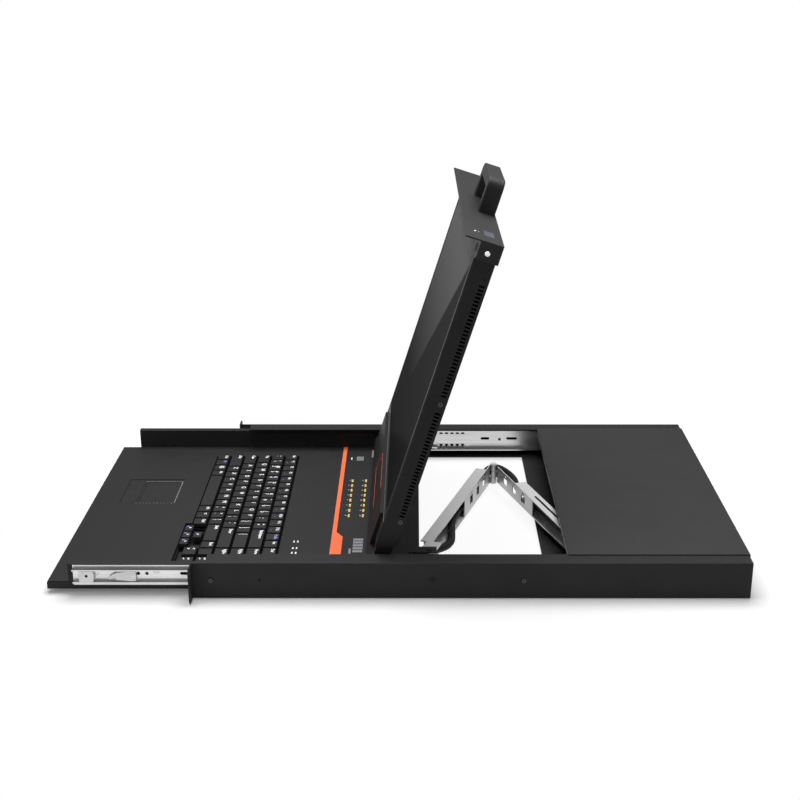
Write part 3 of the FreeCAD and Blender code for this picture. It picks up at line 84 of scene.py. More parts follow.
def axesOf(tree, vector):
    return addNode(tree, "ShaderNodeSeparateXYZ", {"Vector": vector}).outputs


def mixShaders(tree, share, first, second):
    return addNode(tree, "ShaderNodeMixShader", {0: share, 1: first, 2: second}).outputs[0]


def setSurface(tree, surface):
    tree.links.new(surface, tree.nodes["Material Output"].inputs["Surface"])


def addObject(name, data):
    item = bpy.data.objects.new(name, data)
    scene.collection.objects.link(item)
    return item


def newMaterial(name, colour, roughness, metallic=0.0, specular=0.3):
    material = bpy.data.materials.new(name)
    material.use_nodes = True
    tree = material.node_tree
    shader = tree.nodes["Principled BSDF"]
    values = {"Base Color": (*colour, 1), "Roughness": roughness, "Metallic": metallic,
              "Specular IOR Level": specular}
    for key, value in values.items():
        feed(tree, shader.inputs[key], value)
    return material, tree, shader


def objectNoise(tree, scale, stretch=(1, 1, 1), detail=2.0):
    mapping = addNode(tree, "ShaderNodeMapping", {"Vector": objectPlace(tree), "Scale": stretch})
    values = {"Vector": mapping.outputs["Vector"], "Scale": scale, "Detail": detail}
    return addNode(tree, "ShaderNodeTexNoise", values).outputs["Fac"]


def spread(tree, value, low, high, start=0.3, stop=0.7):
    values = {"Value": value, "From Min": start, "From Max": stop, "To Min": low, "To Max": high}
    return addNode(tree, "ShaderNodeMapRange", values).outputs["Result"]


def blendColours(tree, value, first, second):
    first, second = ((*colour, 1) if isinstance(colour, tuple) else colour for colour in (first, second))
    values = {"A": first, "B": second, "Factor": value}
    return addNode(tree, "ShaderNodeMix", values, data_type="RGBA").outputs["Result"]


def addBump(tree, shader, value, strength, distance):
    bump = addNode(tree, "ShaderNodeBump", {"Strength": strength, "Distance": distance, "Height": value})
    feed(tree, shader.inputs["Normal"], bump.outputs["Normal"])


def scaled(colour, factor):
    return tuple(part * factor for part in colour)


def cloudTone(tree, shader, colour, scale, tones):
    # a faint cloudy change of tone
    tone = spread(tree, objectNoise(tree, scale), 0, 1)
    darker, lighter = (scaled(colour, factor) for factor in tones)
    feed(tree, shader.inputs["Base Color"], blendColours(tree, tone, darker, lighter))


def roughPatches(tree, shader, scale, rough):
    feed(tree, shader.inputs["Roughness"], spread(tree, objectNoise(tree, scale), *rough))


coatLook = {"colour": (0.0165, 0.0165, 0.0175), "rough": (0.5, 0.62), "gloss": 0.2, "cloud": 7,
            "tones": (0.95, 1.06), "patch": 35, "grain": 2400, "bump": 0.08, "depth": 0.0001}


def powderCoat(name, colour=None, rough=None, gloss=None):
    # fine orange peel over a faint cloudy tone
    look = coatLook
    colour = colour or look["colour"]
    rough = rough or look["rough"]
    material, tree, shader = newMaterial(name, colour, rough[0], 0.0, gloss or look["gloss"])
    cloudTone(tree, shader, colour, look["cloud"], look["tones"])
    roughPatches(tree, shader, look["patch"], rough)
    addBump(tree, shader, objectNoise(tree, look["grain"]), look["bump"], look["depth"])
    return material


steelLook = {"stretch": (500, 5, 500), "detail": 3.0, "cloud": 14, "tones": (0.92, 1.05), "bump": 0.04,
             "depth": 0.00015}


def brushedSteel(name, colour, rough, stretch=steelLook["stretch"]):
    look = steelLook
    material, tree, shader = newMaterial(name, colour, rough[0], 1.0, 0.5)
    lines = objectNoise(tree, 1.0, stretch, look["detail"])
    feed(tree, shader.inputs["Roughness"], spread(tree, lines, *rough))
    cloudTone(tree, shader, colour, look["cloud"], look["tones"])
    addBump(tree, shader, lines, look["bump"], look["depth"])
    return material


plasticLook = {"cloud": 25, "tones": (0.94, 1.06), "patch": 130, "depth": 0.0001}


def mouldedPlastic(name, colour, rough, grain=1800, bump=0.06, gloss=0.35):
    look = plasticLook
    material, tree, shader = newMaterial(name, colour, rough[0], 0.0, gloss)
    cloudTone(tree, shader, colour, look["cloud"], look["tones"])
    roughPatches(tree, shader, look["patch"], rough)
    addBump(tree, shader, objectNoise(tree, grain), bump, look["depth"])
    return material


weaveLook = {"lean": 0.75, "threads": 260, "tones": (0.7, 1.5), "rough": 0.6, "gloss": 0.3, "bump": 0.35,
             "depth": 0.0004}


def braidedSleeve(name, colour):
    # crossing threads from two diagonal waves
    look = weaveLook
    material, tree, shader = newMaterial(name, colour, look["rough"], 0.0, look["gloss"])
    waves = []
    for lean in (look["lean"], -look["lean"]):
        turned = {"Vector": objectPlace(tree), "Rotation": (lean, lean, lean)}
        place = addNode(tree, "ShaderNodeMapping", turned).outputs["Vector"]
        wave = addNode(tree, "ShaderNodeTexWave", {"Vector": place, "Scale": look["threads"]})
        waves.append(wave.outputs["Fac"])
    weave = compute(tree, "MULTIPLY", *waves)
    darker, lighter = (scaled(colour, factor) for factor in look["tones"])
    feed(tree, shader.inputs["Base Color"], blendColours(tree, weave, darker, lighter))
    addBump(tree, shader, weave, look["bump"], look["depth"])
    return material


panelLook = {"lean": 17.7, "long": 0.36, "dark": (0.012, 0.012, 0.0125), "low": (0.016, 0.016, 0.017),
             "high": (0.105, 0.105, 0.108), "paintedSheen": (0.42, 1.0), "dim": (0.026, 0.026, 0.027),
             "dimming": (0.1, 1.0), "slope": 2.05, "reach": 0.19, "sheenEdge": (1.14, 1.20), "rough": 0.14,
             "mirror": 0.012, "haze": 0.04, "cloud": 18}


def screenPanel(name):
    # dark panel with a painted sheen: a painted reflection that grows towards the top and ends at a slanting
    # edge
    look = panelLook
    material, tree, shader = newMaterial(name, look["dark"], look["rough"], 0.0, 0.0)
    place = axesOf(tree, objectPlace(tree))
    up = compute(tree, "DIVIDE", place["Z"], look["long"] * math.cos(math.radians(look["lean"])))
    # painted reflection in the colour: lighter towards the top, and the darker side below its edge a touch
    # lighter towards the top as well
    tone = blendColours(tree, spread(tree, up, 0, 1, *look["paintedSheen"]), look["low"], look["high"])
    darker = blendColours(tree, spread(tree, up, 0, 1, *look["dimming"]), look["dark"], look["dim"])
    # the painted reflection's edge runs from the near top corner to the far foot; on its near side the panel
    # keeps the darker colour
    across = compute(tree, "MULTIPLY", place["X"], -1 / look["reach"])
    slant = compute(tree, "MULTIPLY_ADD", up, look["slope"], across)
    side = spread(tree, slant, 0, 1, *look["sheenEdge"])
    feed(tree, shader.inputs["Base Color"], blendColours(tree, side, darker, tone))
    # a faint mirror of the room over the dull panel
    haze = spread(tree, objectNoise(tree, look["cloud"]), look["rough"], look["rough"] + look["haze"])
    mirror = addNode(tree, "ShaderNodeBsdfGlossy", {"Roughness": haze})
    setSurface(tree, mixShaders(tree, look["mirror"], shader.outputs[0], mirror.outputs[0]))
    return material


keyLook = {"top": (0.0185, 0.0185, 0.0195), "side": (0.0025, 0.0025, 0.003), "levels": (-0.0062, -0.0051),
           "rough": (0.45, 0.56), "gloss": 0.22, "patch": 130, "grain": 2600, "bump": 0.1, "depth": 0.0001}


def keyPlastic(name):
    # the caps' tops are matt, and their steep sides are coloured near black below the top, a painted shade
    look = keyLook
    material, tree, shader = newMaterial(name, look["top"], 0.5, 0.0, look["gloss"])
    height = spread(tree, axesOf(tree, objectPlace(tree))["Z"], 0, 1, *look["levels"])
    feed(tree, shader.inputs["Base Color"], blendColours(tree, height, look["side"], look["top"]))
    roughPatches(tree, shader, look["patch"], look["rough"])
    addBump(tree, shader, objectNoise(tree, look["grain"]), look["bump"], look["depth"])
    return material


finishes = {
    "black_paint": powderCoat("blackPowderCoat"),
    "black_cover": powderCoat("coverPowderCoat", (0.0215, 0.0215, 0.0225), (0.46, 0.54), 0.3),
    "zinc_steel": brushedSteel("zincSlideSteel", (0.7, 0.7, 0.7), (0.26, 0.4)),
    "black_screw": powderCoat("blackOxide", (0.012, 0.012, 0.0125), (0.4, 0.5)),
    "white_plastic": mouldedPlastic("whiteNylon", (0.72, 0.72, 0.71), (0.38, 0.5)),
    "black_plastic": mouldedPlastic("blackMoulding", (0.012, 0.012, 0.013), (0.42, 0.55)),
    "key_plastic": keyPlastic("keyPlastic"),
    "grey_plastic": mouldedPlastic("touchPlastic", (0.0175, 0.0175, 0.0185), (0.5, 0.6), 1800, 0.06, 0.2),
    "button_grey": mouldedPlastic("buttonPlastic", (0.17, 0.175, 0.18), (0.4, 0.5)),
    "orange": mouldedPlastic("orangeFilm", (0.83, 0.155, 0.055), (0.45, 0.55), 900, 0.02, 0.2),
    "lamp": mouldedPlastic("amberLens", (0.86, 0.42, 0.13), (0.3, 0.4), 500, 0.02),
    "screen": screenPanel("screenGlass"),
    "green_board": mouldedPlastic("solderMask", (0.02, 0.12, 0.05), (0.3, 0.45), 900, 0.05),
    "port_metal": brushedSteel("nickelShell", (0.5, 0.5, 0.51), (0.25, 0.4), (60, 60, 60)),
    "sleeve": braidedSleeve("cableSleeve", (0.008, 0.008, 0.009)),
    "case_steel": brushedSteel("galvanisedCase", (0.42, 0.43, 0.44), (0.35, 0.5), (20, 20, 20)),
}


plateLook = {"gloss": 0.5, "metal": 0.9, "facing": (0.4, 0.8), "cloud": 22, "tones": (0.85, 1.2),
             "metals": (0.92, 0.32), "patch": 9}


def brightPlate(name, colour, paintedUprightShade, rough):
    # plated steel: level faces scatter the light from above, upright ones mirror what stands round them; the
    # colour is also painted light and shade, light on level faces and darker with a cloudy tone on upright
    # ones
    look = plateLook
    material, tree, shader = newMaterial(name, colour, rough[0], look["metal"], look["gloss"])
    normal = addNode(tree, "ShaderNodeNewGeometry").outputs["Normal"]
    facing = compute(tree, "ABSOLUTE", axesOf(tree, normal)["Z"])
    level = spread(tree, facing, 0, 1, *look["facing"])
    cloud = spread(tree, objectNoise(tree, look["cloud"]), 0, 1)
    darker, lighter = (scaled(paintedUprightShade, factor) for factor in look["tones"])
    wall = blendColours(tree, cloud, darker, lighter)
    feed(tree, shader.inputs["Base Color"], blendColours(tree, level, wall, colour))
    feed(tree, shader.inputs["Metallic"], spread(tree, level, *look["metals"], 0, 1))
    roughPatches(tree, shader, look["patch"], rough)
    return material


def printFilm(name, colour):
    return mouldedPlastic(name, colour, (0.5, 0.6), 900, 0.01, 0.2)


armSteel = brightPlate("armSteel", (0.84, 0.84, 0.84), (0.36, 0.36, 0.36), (0.26, 0.34))
boxCoat = powderCoat("sidePowderCoat", (0.0135, 0.0135, 0.0145), (0.5, 0.6), 0.16)
keyPrint = printFilm("keyPrint", (0.8, 0.8, 0.82))
keyPrintBlue = printFilm("keyPrintBlue", (0.28, 0.28, 0.62))
# grey print, and also the painted highlight strips along the cap's folded edges and the chin's top edge
softPrintAndHighlight = printFilm("softPrintAndHighlight", (0.2, 0.2, 0.21))
orangePrint = printFilm("orangePrint", (0.50, 0.105, 0.04))
greenLens = mouldedPlastic("greenLens", (0.62, 0.66, 0.2), (0.3, 0.4), 500, 0.02)
brightSteel = brushedSteel("brightScrewSteel", (0.85, 0.85, 0.86), (0.2, 0.32), (80, 80, 80))
# near black, laid as thin sheets and discs over holes, slots, cage windows and gaps between keys: painted
# shade
paintedShade = mouldedPlastic("holeShade", (0.004, 0.004, 0.0045), (0.6, 0.7), 900, 0.01, 0.1)
for entry in frame["record"]["subparts"]:
    name, look = entry["node"], finishes[entry["material_slot"]]
    if name.startswith("arm_link"):
        look = armSteel
    if name.startswith("arm_bracket"):
        look = finishes["black_paint"]
    # the keyboard's base, seen between the caps, takes the painted shade
    if name == "keyboard_base":
        look = paintedShade
    if name in ("display_shell", "display_chin"):
        look = boxCoat
    nodes[name].data.materials.clear()
    nodes[name].data.materials.append(look)
print("materials on the frame")

studio = {"floor": -0.0225, "floorTone": (0.72, 0.72, 0.72), "floorRough": 0.9, "floorSize": 24,
          "white": 1.0, "near": 1.3, "fill": 0.26, "shadow": 0.9,
          "middle": (0, 0.233), "half": (0.235, 0.4), "fade": 0.1,
          "openingMiddle": (0, 0.325), "openingHalf": (0.185, 0.075), "openingFade": 0.03,
          "openingWhite": 0.86}


def boxDistance(tree, middle, half):
    # how far a place on the floor lies outside a rectangle
    place = axesOf(tree, objectPlace(tree))
    reaches = []
    for axis, centre, reach in zip("XY", middle, half):
        away = compute(tree, "ABSOLUTE", compute(tree, "SUBTRACT", place[axis], centre))
        reaches.append(compute(tree, "SUBTRACT", away, reach))
    return compute(tree, "MAXIMUM", *reaches)


def floorMaterial():
    # white to the camera and in reflections, with a share kept for the soft shadow
    look = studio
    material, tree, shader = newMaterial("studioFloor", look["floorTone"], look["floorRough"], 0.0, 0.0)
    path = addNode(tree, "ShaderNodeLightPath").outputs
    seen = compute(tree, "MAXIMUM", path["Is Camera Ray"], path["Is Glossy Ray"])
    # the floor is plain white further off than the shadow reaches, and in the drawer's opening
    shadowEdge = boxDistance(tree, look["middle"], look["half"])
    opening = boxDistance(tree, look["openingMiddle"], look["openingHalf"])
    outside = spread(tree, shadowEdge, 1 - look["shadow"], 1, 0, look["fade"])
    inside = spread(tree, opening, look["openingWhite"], 0, 0, look["openingFade"])
    plain = compute(tree, "MAXIMUM", outside, inside)
    # the glow makes up for the share that the lit floor gives
    strength = spread(tree, plain, look["near"], look["white"], 1 - look["shadow"], 1)
    glow = addNode(tree, "ShaderNodeEmission", {"Color": (1, 1, 1, 1), "Strength": strength})
    share = compute(tree, "MULTIPLY", seen, plain)
    setSurface(tree, mixShaders(tree, share, shader.outputs[0], glow.outputs[0]))
    return material


def makeFloor():
    size = studio["floorSize"] / 2
    mesh = bpy.data.meshes.new("studioFloor")
    level = studio["floor"]
    mesh.from_pydata([(-size, -size, level), (size, -size, level), (size, size, level), (-size, size, level)],
                     [], [(0, 1, 2, 3)])
    floor = addObject("studioFloor", mesh)
    mesh.materials.append(floorMaterial())


def makeWorld():
    scene.world = bpy.data.worlds.new("studioWorld")
    scene.world.use_nodes = True
    tree = scene.world.node_tree
    tree.nodes.clear()
    path = addNode(tree, "ShaderNodeLightPath").outputs
    fill, white = (addNode(tree, "ShaderNodeBackground", {"Color": (1, 1, 1, 1), "Strength": studio[key]})
                   for key in ("fill", "white"))
    mixed = mixShaders(tree, path["Is Camera Ray"], fill.outputs[0], white.outputs[0])
    addNode(tree, "ShaderNodeOutputWorld", {"Surface": mixed})


lamps = {
    "overhead": {"at": (-0.2, 0.27, 1.4), "aim": (0, 0.25, 0), "size": (1.4, 1.2), "power": 35},
    "front": {"at": (1.2, -2.2, 1.5), "aim": (0, 0.2, 0.1), "size": (1.4, 1.4), "power": 15},
}


def makeLamps():
    for name, look in lamps.items():
        light = bpy.data.lights.new(name, "AREA")
        light.shape = "RECTANGLE"
        light.size, light.size_y = look["size"]
        light.energy = look["power"]
        lamp = addObject(name, light)
        lamp.location = look["at"]
        aim = Vector(look["aim"]) - Vector(look["at"])
        lamp.rotation_euler = aim.to_track_quat("-Z", "Y").to_euler()


view = {"at": (1.539, 0.250, 0.679), "pitch": 19.48, "yaw": 0.06, "focal": 1304.0,
        "centre": (413.0, 402.0), "frame": 800}


def makeCamera():
    data = bpy.data.cameras.new("camera")
    camera = addObject("camera", data)
    data.sensor_width = 36
    data.lens = view["focal"] * 36 / view["frame"]
    data.shift_x = (view["frame"] / 2 - view["centre"][0]) / view["frame"]
    data.shift_y = (view["centre"][1] - view["frame"] / 2) / view["frame"]
    data.clip_end = 60
    # looks along -X, tipped down by the pitch
    pitch = math.radians(view["pitch"])
    forward = Vector((-math.cos(pitch), 0, -math.sin(pitch)))
    right = Vector((0, 1, 0))
    up = right.cross(forward)
    turn = Matrix((right, up, -forward)).transposed().to_4x4()
    yaw = Matrix.Rotation(math.radians(view["yaw"]), 4, "Z")
    camera.matrix_world = Matrix.Translation(view["at"]) @ yaw @ turn
    scene.camera = camera


makeFloor()
makeWorld()
makeLamps()
makeCamera()
scene.view_settings.view_transform = "Standard"
print("studio and camera made")

mm = 0.001
hinge = {"y": 206, "z": 5, "lean": 17.7}


def onDisplay(x, y, up):
    # millimetres across, behind the hinge line and up the leaning display
    lean = math.radians(hinge["lean"])
    return Vector((x, hinge["y"] + y * math.cos(lean) + up * math.sin(lean),
                   hinge["z"] - y * math.sin(lean) + up * math.cos(lean))) * mm


def upright(x, y, z):
    return Vector((x, y, z)) * mm


def addPiece(name, mesh, look, body, slot, stands=()):
    mesh.materials.clear()
    mesh.materials.append(look)
    piece = addObject(name, mesh)
    if body:
        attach(piece, body)
    if stands:
        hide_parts(*stands)
    return piece


def printMesh(name, form):
    mesh = bpy.data.meshes.new(name)
    form.to_mesh(mesh)
    form.free()
    return mesh


def closeMesh(name, form):
    bmesh.ops.recalc_face_normals(form, faces=form.faces)
    return printMesh(name, form)


def addForm(name, form, *rest):
    return addPiece(name, closeMesh(name, form), *rest)


def bakeMesh(item):
    # the finished mesh of a curve, letters or modifiers, whose object goes
    graph = bpy.context.evaluated_depsgraph_get()
    mesh = bpy.data.meshes.new_from_object(item.evaluated_get(graph))
    bpy.data.objects.remove(item)
    return mesh


def addSlab(form, outline, low, high, place=upright):
    # a prism on an outline, between two levels along the third axis
    rings = [[form.verts.new(place(x, y, level)) for x, y in outline] for level in (low, high)]
    count = len(outline)
    form.faces.new(rings[0][::-1])
    form.faces.new(rings[1])
    for first in range(count):
        after = (first + 1) % count
        form.faces.new((rings[0][first], rings[0][after], rings[1][after], rings[1][first]))


def addField(form, start, stop, low, high, place=upright):
    # a rectangular prism between two corners
    outline = [start, (stop[0], start[1]), stop, (start[0], stop[1])]
    addSlab(form, outline, low, high, place)


def addBar(form, start, stop, wide, low, high, place=upright):
    # a straight strip from start to stop, lying in the plane of the first two axes
    along = (Vector(stop) - Vector(start)).normalized()
    side = Vector((-along.y, along.x)) * wide / 2
    ends = [Vector(start) + side, Vector(start) - side, Vector(stop) - side, Vector(stop) + side]
    addSlab(form, [tuple(end) for end in ends], low, high, place)


def onChin(x, up, out):
    return onDisplay(x, -out, up)


def lathe(name, profile, turns=16):
    # a turned shape about Z, from radius and height pairs in millimetres
    form = bmesh.new()
    rings = []
    for radius, level in profile:
        angles = [2 * math.pi * turn / turns for turn in range(turns if radius else 1)]
        rings.append([form.verts.new((radius * mm * math.cos(angle), radius * mm * math.sin(angle),
                                      level * mm))
                      for angle in angles])
    for first, second in zip(rings, rings[1:]):
        for turn in range(turns):
            after = (turn + 1) % turns
            corners = [first[turn % len(first)], first[after % len(first)],
                       second[after % len(second)], second[turn % len(second)]]
            # a point at the axis stands in both places of its ring
            form.faces.new(list(dict.fromkeys(corners)))
    return closeMesh(name, form)


def repeatTree():
    tree = bpy.data.node_groups.new("repeatShape", "GeometryNodeTree")
    sockets = {"Places": "Geometry", "Shape": "Object", "Turn": "Vector", "Size": "Float",
               "Finish": "Material"}
    for name, kind in sockets.items():
        tree.interface.new_socket(name, in_out="INPUT", socket_type="NodeSocket" + kind)
    tree.interface.new_socket("Geometry", in_out="OUTPUT", socket_type="NodeSocketGeometry")
    given = addNode(tree, "NodeGroupInput").outputs
    shape = addNode(tree, "GeometryNodeObjectInfo", {"Object": given["Shape"]}).outputs["Geometry"]
    values = {"Points": given["Places"], "Instance": shape, "Rotation": given["Turn"], "Scale": given["Size"]}
    copies = addNode(tree, "GeometryNodeInstanceOnPoints", values).outputs["Instances"]
    solid = addNode(tree, "GeometryNodeRealizeInstances", {"Geometry": copies}).outputs["Geometry"]
    values = {"Geometry": solid, "Material": given["Finish"]}
    paint = addNode(tree, "GeometryNodeSetMaterial", values).outputs["Geometry"]
    addNode(tree, "NodeGroupOutput", {"Geometry": paint})
    return tree


repeated = repeatTree()


def repeatShape(name, shapeMesh, places, turn, look, body, slot, size=1.0, stands=()):
    # copies of one shape at the given places, turned by degrees
    spots = bpy.data.meshes.new(name + "Places")
    spots.from_pydata([tuple(place) for place in places], [], [])
    holder = addObject(name + "Holder", spots)
    shape = addObject(name + "Shape", shapeMesh)
    modifier = holder.modifiers.new("repeat", "NODES")
    modifier.node_group = repeated
    values = {"Shape": shape, "Turn": tuple(math.radians(angle) for angle in turn), "Size": size,
              "Finish": look}
    for item in repeated.interface.items_tree:
        if item.name in values and item.in_out == "INPUT":
            modifier[item.identifier] = values[item.name]
    mesh = bakeMesh(holder)
    mesh.name = name
    bpy.data.objects.remove(shape)
    return addPiece(name, mesh, look, body, slot, stands)


def tubeMesh(name, points, radius, sides=3):
    # a round tube along a smooth NURBS line, points in millimetres
    curve = bpy.data.curves.new(name, "CURVE")
    curve.dimensions = "3D"
    spline = curve.splines.new("NURBS")
    spline.points.add(len(points) - 1)
    for knot, point in zip(spline.points, points):
        knot.co = (*(Vector(point) * mm), 1)
    spline.order_u = 3
    spline.use_endpoint_u = True
    curve.resolution_u = 10
    curve.bevel_depth = radius * mm
    curve.bevel_resolution = sides
    curve.use_fill_caps = True
    mesh = bakeMesh(addObject(name + "Line", curve))
    mesh.name = name
    for face in mesh.polygons:
        face.use_smooth = True
    return mesh


# each link has its outer pivot and the way it leans
harness = {"radius": 4.8, "level": -1, "front": (170, 268, 1), "rear": (189.9, 452.7, -1), "fold": 18.6,
           "entry": (149, 250.6, -1)}


def alongLink(link, reach, out, rise=0):
    # a place on an arm link, measured from its outer pivot along the link, towards its open side and up
    x, y, way = harness[link]
    fold = math.radians(harness["fold"])
    cosine, sine = math.cos(fold), math.sin(fold)
    return (x - reach * cosine - out * sine, y + way * reach * sine - way * out * cosine,
            harness["level"] + rise)


# a sleeve without a body is left unattached, its place baked into its mesh
sleeves = {
    "trayLead": {"route": [(149, 250.6, -14.6), harness["entry"], ("front", 34, 1, -2), ("front", 59, -8, -4),
                           ("front", 88, 0, -4), ("front", 122, 11.5, -2), ("front", 168, 11.5)],
                 "stands": "cable_tray", "body": None},
    "elbowLoop": {"route": [("front", 168, 11.5), ("front", 269, 11.5), ("front", 301, 9.5),
                            ("rear", 310, 17.5), ("rear", 274, 19.5), ("rear", 246, 11.5),
                            ("rear", 228, 11.5)],
                  "stands": "cable_elbow", "body": None},
    "channelRun": {"route": [("rear", 228, 11.5), ("rear", 212, 11.5, 7), ("rear", 140, 11.5, 7),
                             ("rear", 68, 11.5, 7), ("rear", 52, 11.5)], "stands": "cable_link",
                   "body": "arm_rear"},
    "boardLead": {"route": [("rear", 52, 11.5), ("rear", 26, 11.5), (122, 476, -1), (86, 480, -4),
                            (86, 502, -4)],
                  "stands": "cable_board", "body": "chassis"},
}


def makeSleeves():
    for name, look in sleeves.items():
        points = [alongLink(*point) if isinstance(point[0], str) else point for point in look["route"]]
        mesh = tubeMesh(name, points, harness["radius"])
        piece = addPiece(name, mesh, finishes["sleeve"], look["body"], "sleeve", (look["stands"],))
        if name == "trayLead":
            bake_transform(piece)
        if name == "elbowLoop":
            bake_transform(piece)


makeSleeves()
print("cable sleeves made")

keyRows = [
    [19, 19, 19, 19, 100, 19, 19, 19, -63, 23],
    [43] + [19] * 10 + [48, 19, 19],
    [34] + [19] * 11 + [57, 19],
    [29] + [19] * 12 + [43, 19],
    [19] * 13 + [53, 19],
    [19.94] * 16,
]
keyMarks = [
    ["Ctrl", "Fn*", "@", "Alt", "", "Alt", "=", "Ctrl", "< >"],
    ["Shift", "Z", "X", "C", "V", "B", "N", "M", "< ,", "> .", "? /", "Shift", "End"],
    ["Caps", "A", "S", "D", "F", "G", "H", "J", "K", "L", ": ;", "\" '", "Enter", "PgDn"],
    ["Tab", "Q", "W", "E", "R", "T", "Y", "U", "I", "O", "P", "{ [", "} ]", "| \\", "PgUp"],
    ["~ `", "! 1", "@ 2", "# 3", "$ 4", "% 5", "^ 6", "& 7", "* 8", "( 9", ") 0", "_ -", "+ =", "Backspace",
     "Home"],
    ["Esc", "F1", "F2", "F3", "F4", "F5", "F6", "F7", "F8", "F9", "F10", "F11", "F12", "PrtSc*", "Ins",
     "Del"],
]
keyboard = {"left": -172, "right": 172, "front": -27, "deep": 19, "top": -4.97, "edge": 21, "letter": 5.6,
            "word": 4.0, "inset": 3.4, "aside": 4.2, "bold": 0.00014, "pairShare": 0.8,
            "pairBack": (4.0, 10.2)}
arrowMarks = {"left": 62, "middle": 81, "pitch": 19, "front": -35, "sign": 5, "dot": 4,
              "signAt": (4, 3), "dotAt": (8, 7), "upperSignAt": (5, 2), "upperDotAt": (8, 6)}
topMarks = {"signs": "o-=+~x", "count": 12, "tall": 2.6, "pitch": 19.94, "at": (9.5, 4.6)}
edgeMarks = (("-+", 3.6, 4.5), ("o=", 3.4, 10.5))


def letterMesh(text, height, bold=0.0, thick=0.04):
    font = bpy.data.curves.new("letters", "FONT")
    font.body = text
    font.size = height * mm * 1.4
    font.extrude = thick * mm / 2
    font.offset = bold
    font.resolution_u = 2
    return bakeMesh(addObject("letters", font))


def addLetters(form, text, height, place, bold=0.0):
    mesh = letterMesh(text, height, bold)
    mesh.transform(Matrix.Translation(Vector(place) * mm))
    form.from_mesh(mesh)
    bpy.data.meshes.remove(mesh)


def arrowLegends(white, blue, rowRear):
    look = arrowMarks
    front, level, bold = look["front"], keyboard["top"], keyboard["bold"]
    marks = [(arrow, look["left"] + look["pitch"] * step, front, look["signAt"], look["dotAt"])
             for step, arrow in enumerate("<v>")]
    middle = front + (rowRear - front) / 2
    marks.append(("^", look["middle"], middle, look["upperSignAt"], look["upperDotAt"]))
    for arrow, x, y, signAt, dotAt in marks:
        addLetters(blue, arrow, look["sign"], (x + signAt[0], y + signAt[1], level), bold)
        addLetters(white, "o", look["dot"], (x + dotAt[0], y + dotAt[1], level), bold)


def topLegends(blue, front):
    look = topMarks
    for step in range(look["count"]):
        x = keyboard["left"] + look["pitch"] * (step + 1) + look["at"][0]
        sign = look["signs"][step % len(look["signs"])]
        addLetters(blue, sign, look["tall"], (x, front + look["at"][1], keyboard["top"]))


def keyLegends(number):
    # white marks at the rear left of each cap; a mark that ends in a star is blue
    look = keyboard
    white, blue = bmesh.new(), bmesh.new()
    front = look["front"] + number * look["deep"]
    rear = front + look["deep"] - look["inset"]
    left, level, bold = look["left"], look["top"], look["bold"]
    marks = iter(keyMarks[number])
    for wide in keyRows[number]:
        if wide > 0:
            mark = next(marks, "")
            form = blue if mark.endswith("*") else white
            text = mark.rstrip("*") if form is blue else mark
            x = left + look["aside"]
            if " " in text and len(text) == 3:
                for part, back in zip(text.split(" "), look["pairBack"]):
                    addLetters(form, part, look["letter"] * look["pairShare"], (x, rear - back, level), bold)
            elif text:
                tall = look["letter"] if len(text) == 1 else look["word"]
                addLetters(form, text, tall, (x, rear - tall, level), bold)
        left += abs(wide)
    if number == 0:
        arrowLegends(white, blue, front + look["deep"])
    if number == len(keyRows) - 1:
        topLegends(blue, front)
    # the column at the right end
    edge = look["right"] - look["edge"] + look["inset"]
    for text, tall, rise in edgeMarks:
        addLetters(white, text, tall, (edge, front + rise, level), bold)
    body, slot = "keys_%d" % (number + 1), "key_plastic"
    addPiece("keyPrintWhite%d" % (number + 1), printMesh("keyPrintWhite", white), keyPrint, body, slot)
    if len(blue.verts):
        addPiece("keyPrintBlue%d" % (number + 1), printMesh("keyPrintBlue", blue), keyPrintBlue, body, slot)


for number in range(len(keyRows)):
    keyLegends(number)
print("key legends made")

deckLamps = {"first": -88, "pitch": 16.2, "count": 8, "rows": (165.7, 183.7), "long": 4.1, "deep": 2.4,
             "top": -8.0, "proud": 0.35, "gap": 0.5, "inset": 0.25, "shoulder": 0.6,
             "locks": (105, 123, 136), "lockRows": (103.5, 108), "lockAside": 2.4, "lock": (4.6, 1.7, 0.25)}


def lensShape(name, wide, deep, proud):
    form = bmesh.new()
    inset, shoulder = deckLamps["inset"], proud * deckLamps["shoulder"]
    addField(form, (0, 0), (wide, deep), 0, shoulder)
    addField(form, (inset, inset), (wide - inset, deep - inset), shoulder, proud)
    return closeMesh(name, form)


def makeDeckLamps():
    look = deckLamps
    spots = [(look["first"] + look["pitch"] * column, row)
             for row in look["rows"] for column in range(look["count"])]
    lens = (look["long"], look["deep"], look["proud"])
    green = [upright(x, y, look["top"]) for x, y in spots]
    repeatShape("lampLensGreen", lensShape("lensGreen", *lens), green, (0, 0, 0), greenLens, "tray", "lamp",
                stands=("channel_lamps",))
    amber = [upright(x + look["long"] + look["gap"], y, look["top"]) for x, y in spots]
    repeatShape("lampLensAmber", lensShape("lensAmber", *lens), amber, (0, 0, 0), finishes["lamp"], "tray",
                "lamp")
    locks = [upright(x - look["lockAside"], y, look["top"]) for x in look["locks"] for y in look["lockRows"]]
    repeatShape("lockMarks", lensShape("lockLens", *look["lock"]), locks, (0, 0, 0), keyPrint, "tray", "lamp")


makeDeckLamps()

deckPrint = {"level": -7.97, "thick": 0.05, "letter": 2.4, "numberAt": (1.6, -3.6), "tiny": 1.5,
             "tinyAt": (2.6, -8.4), "white": [((-168, 161.4), (-160, 163.0))],
             "left": [((-196, 190), (-169, 192.6))], "bars": (96, 104, 112, 120, 128),
             "bar": (6, 176, 188), "foot": [((124, 171.4), (138, 174))]}


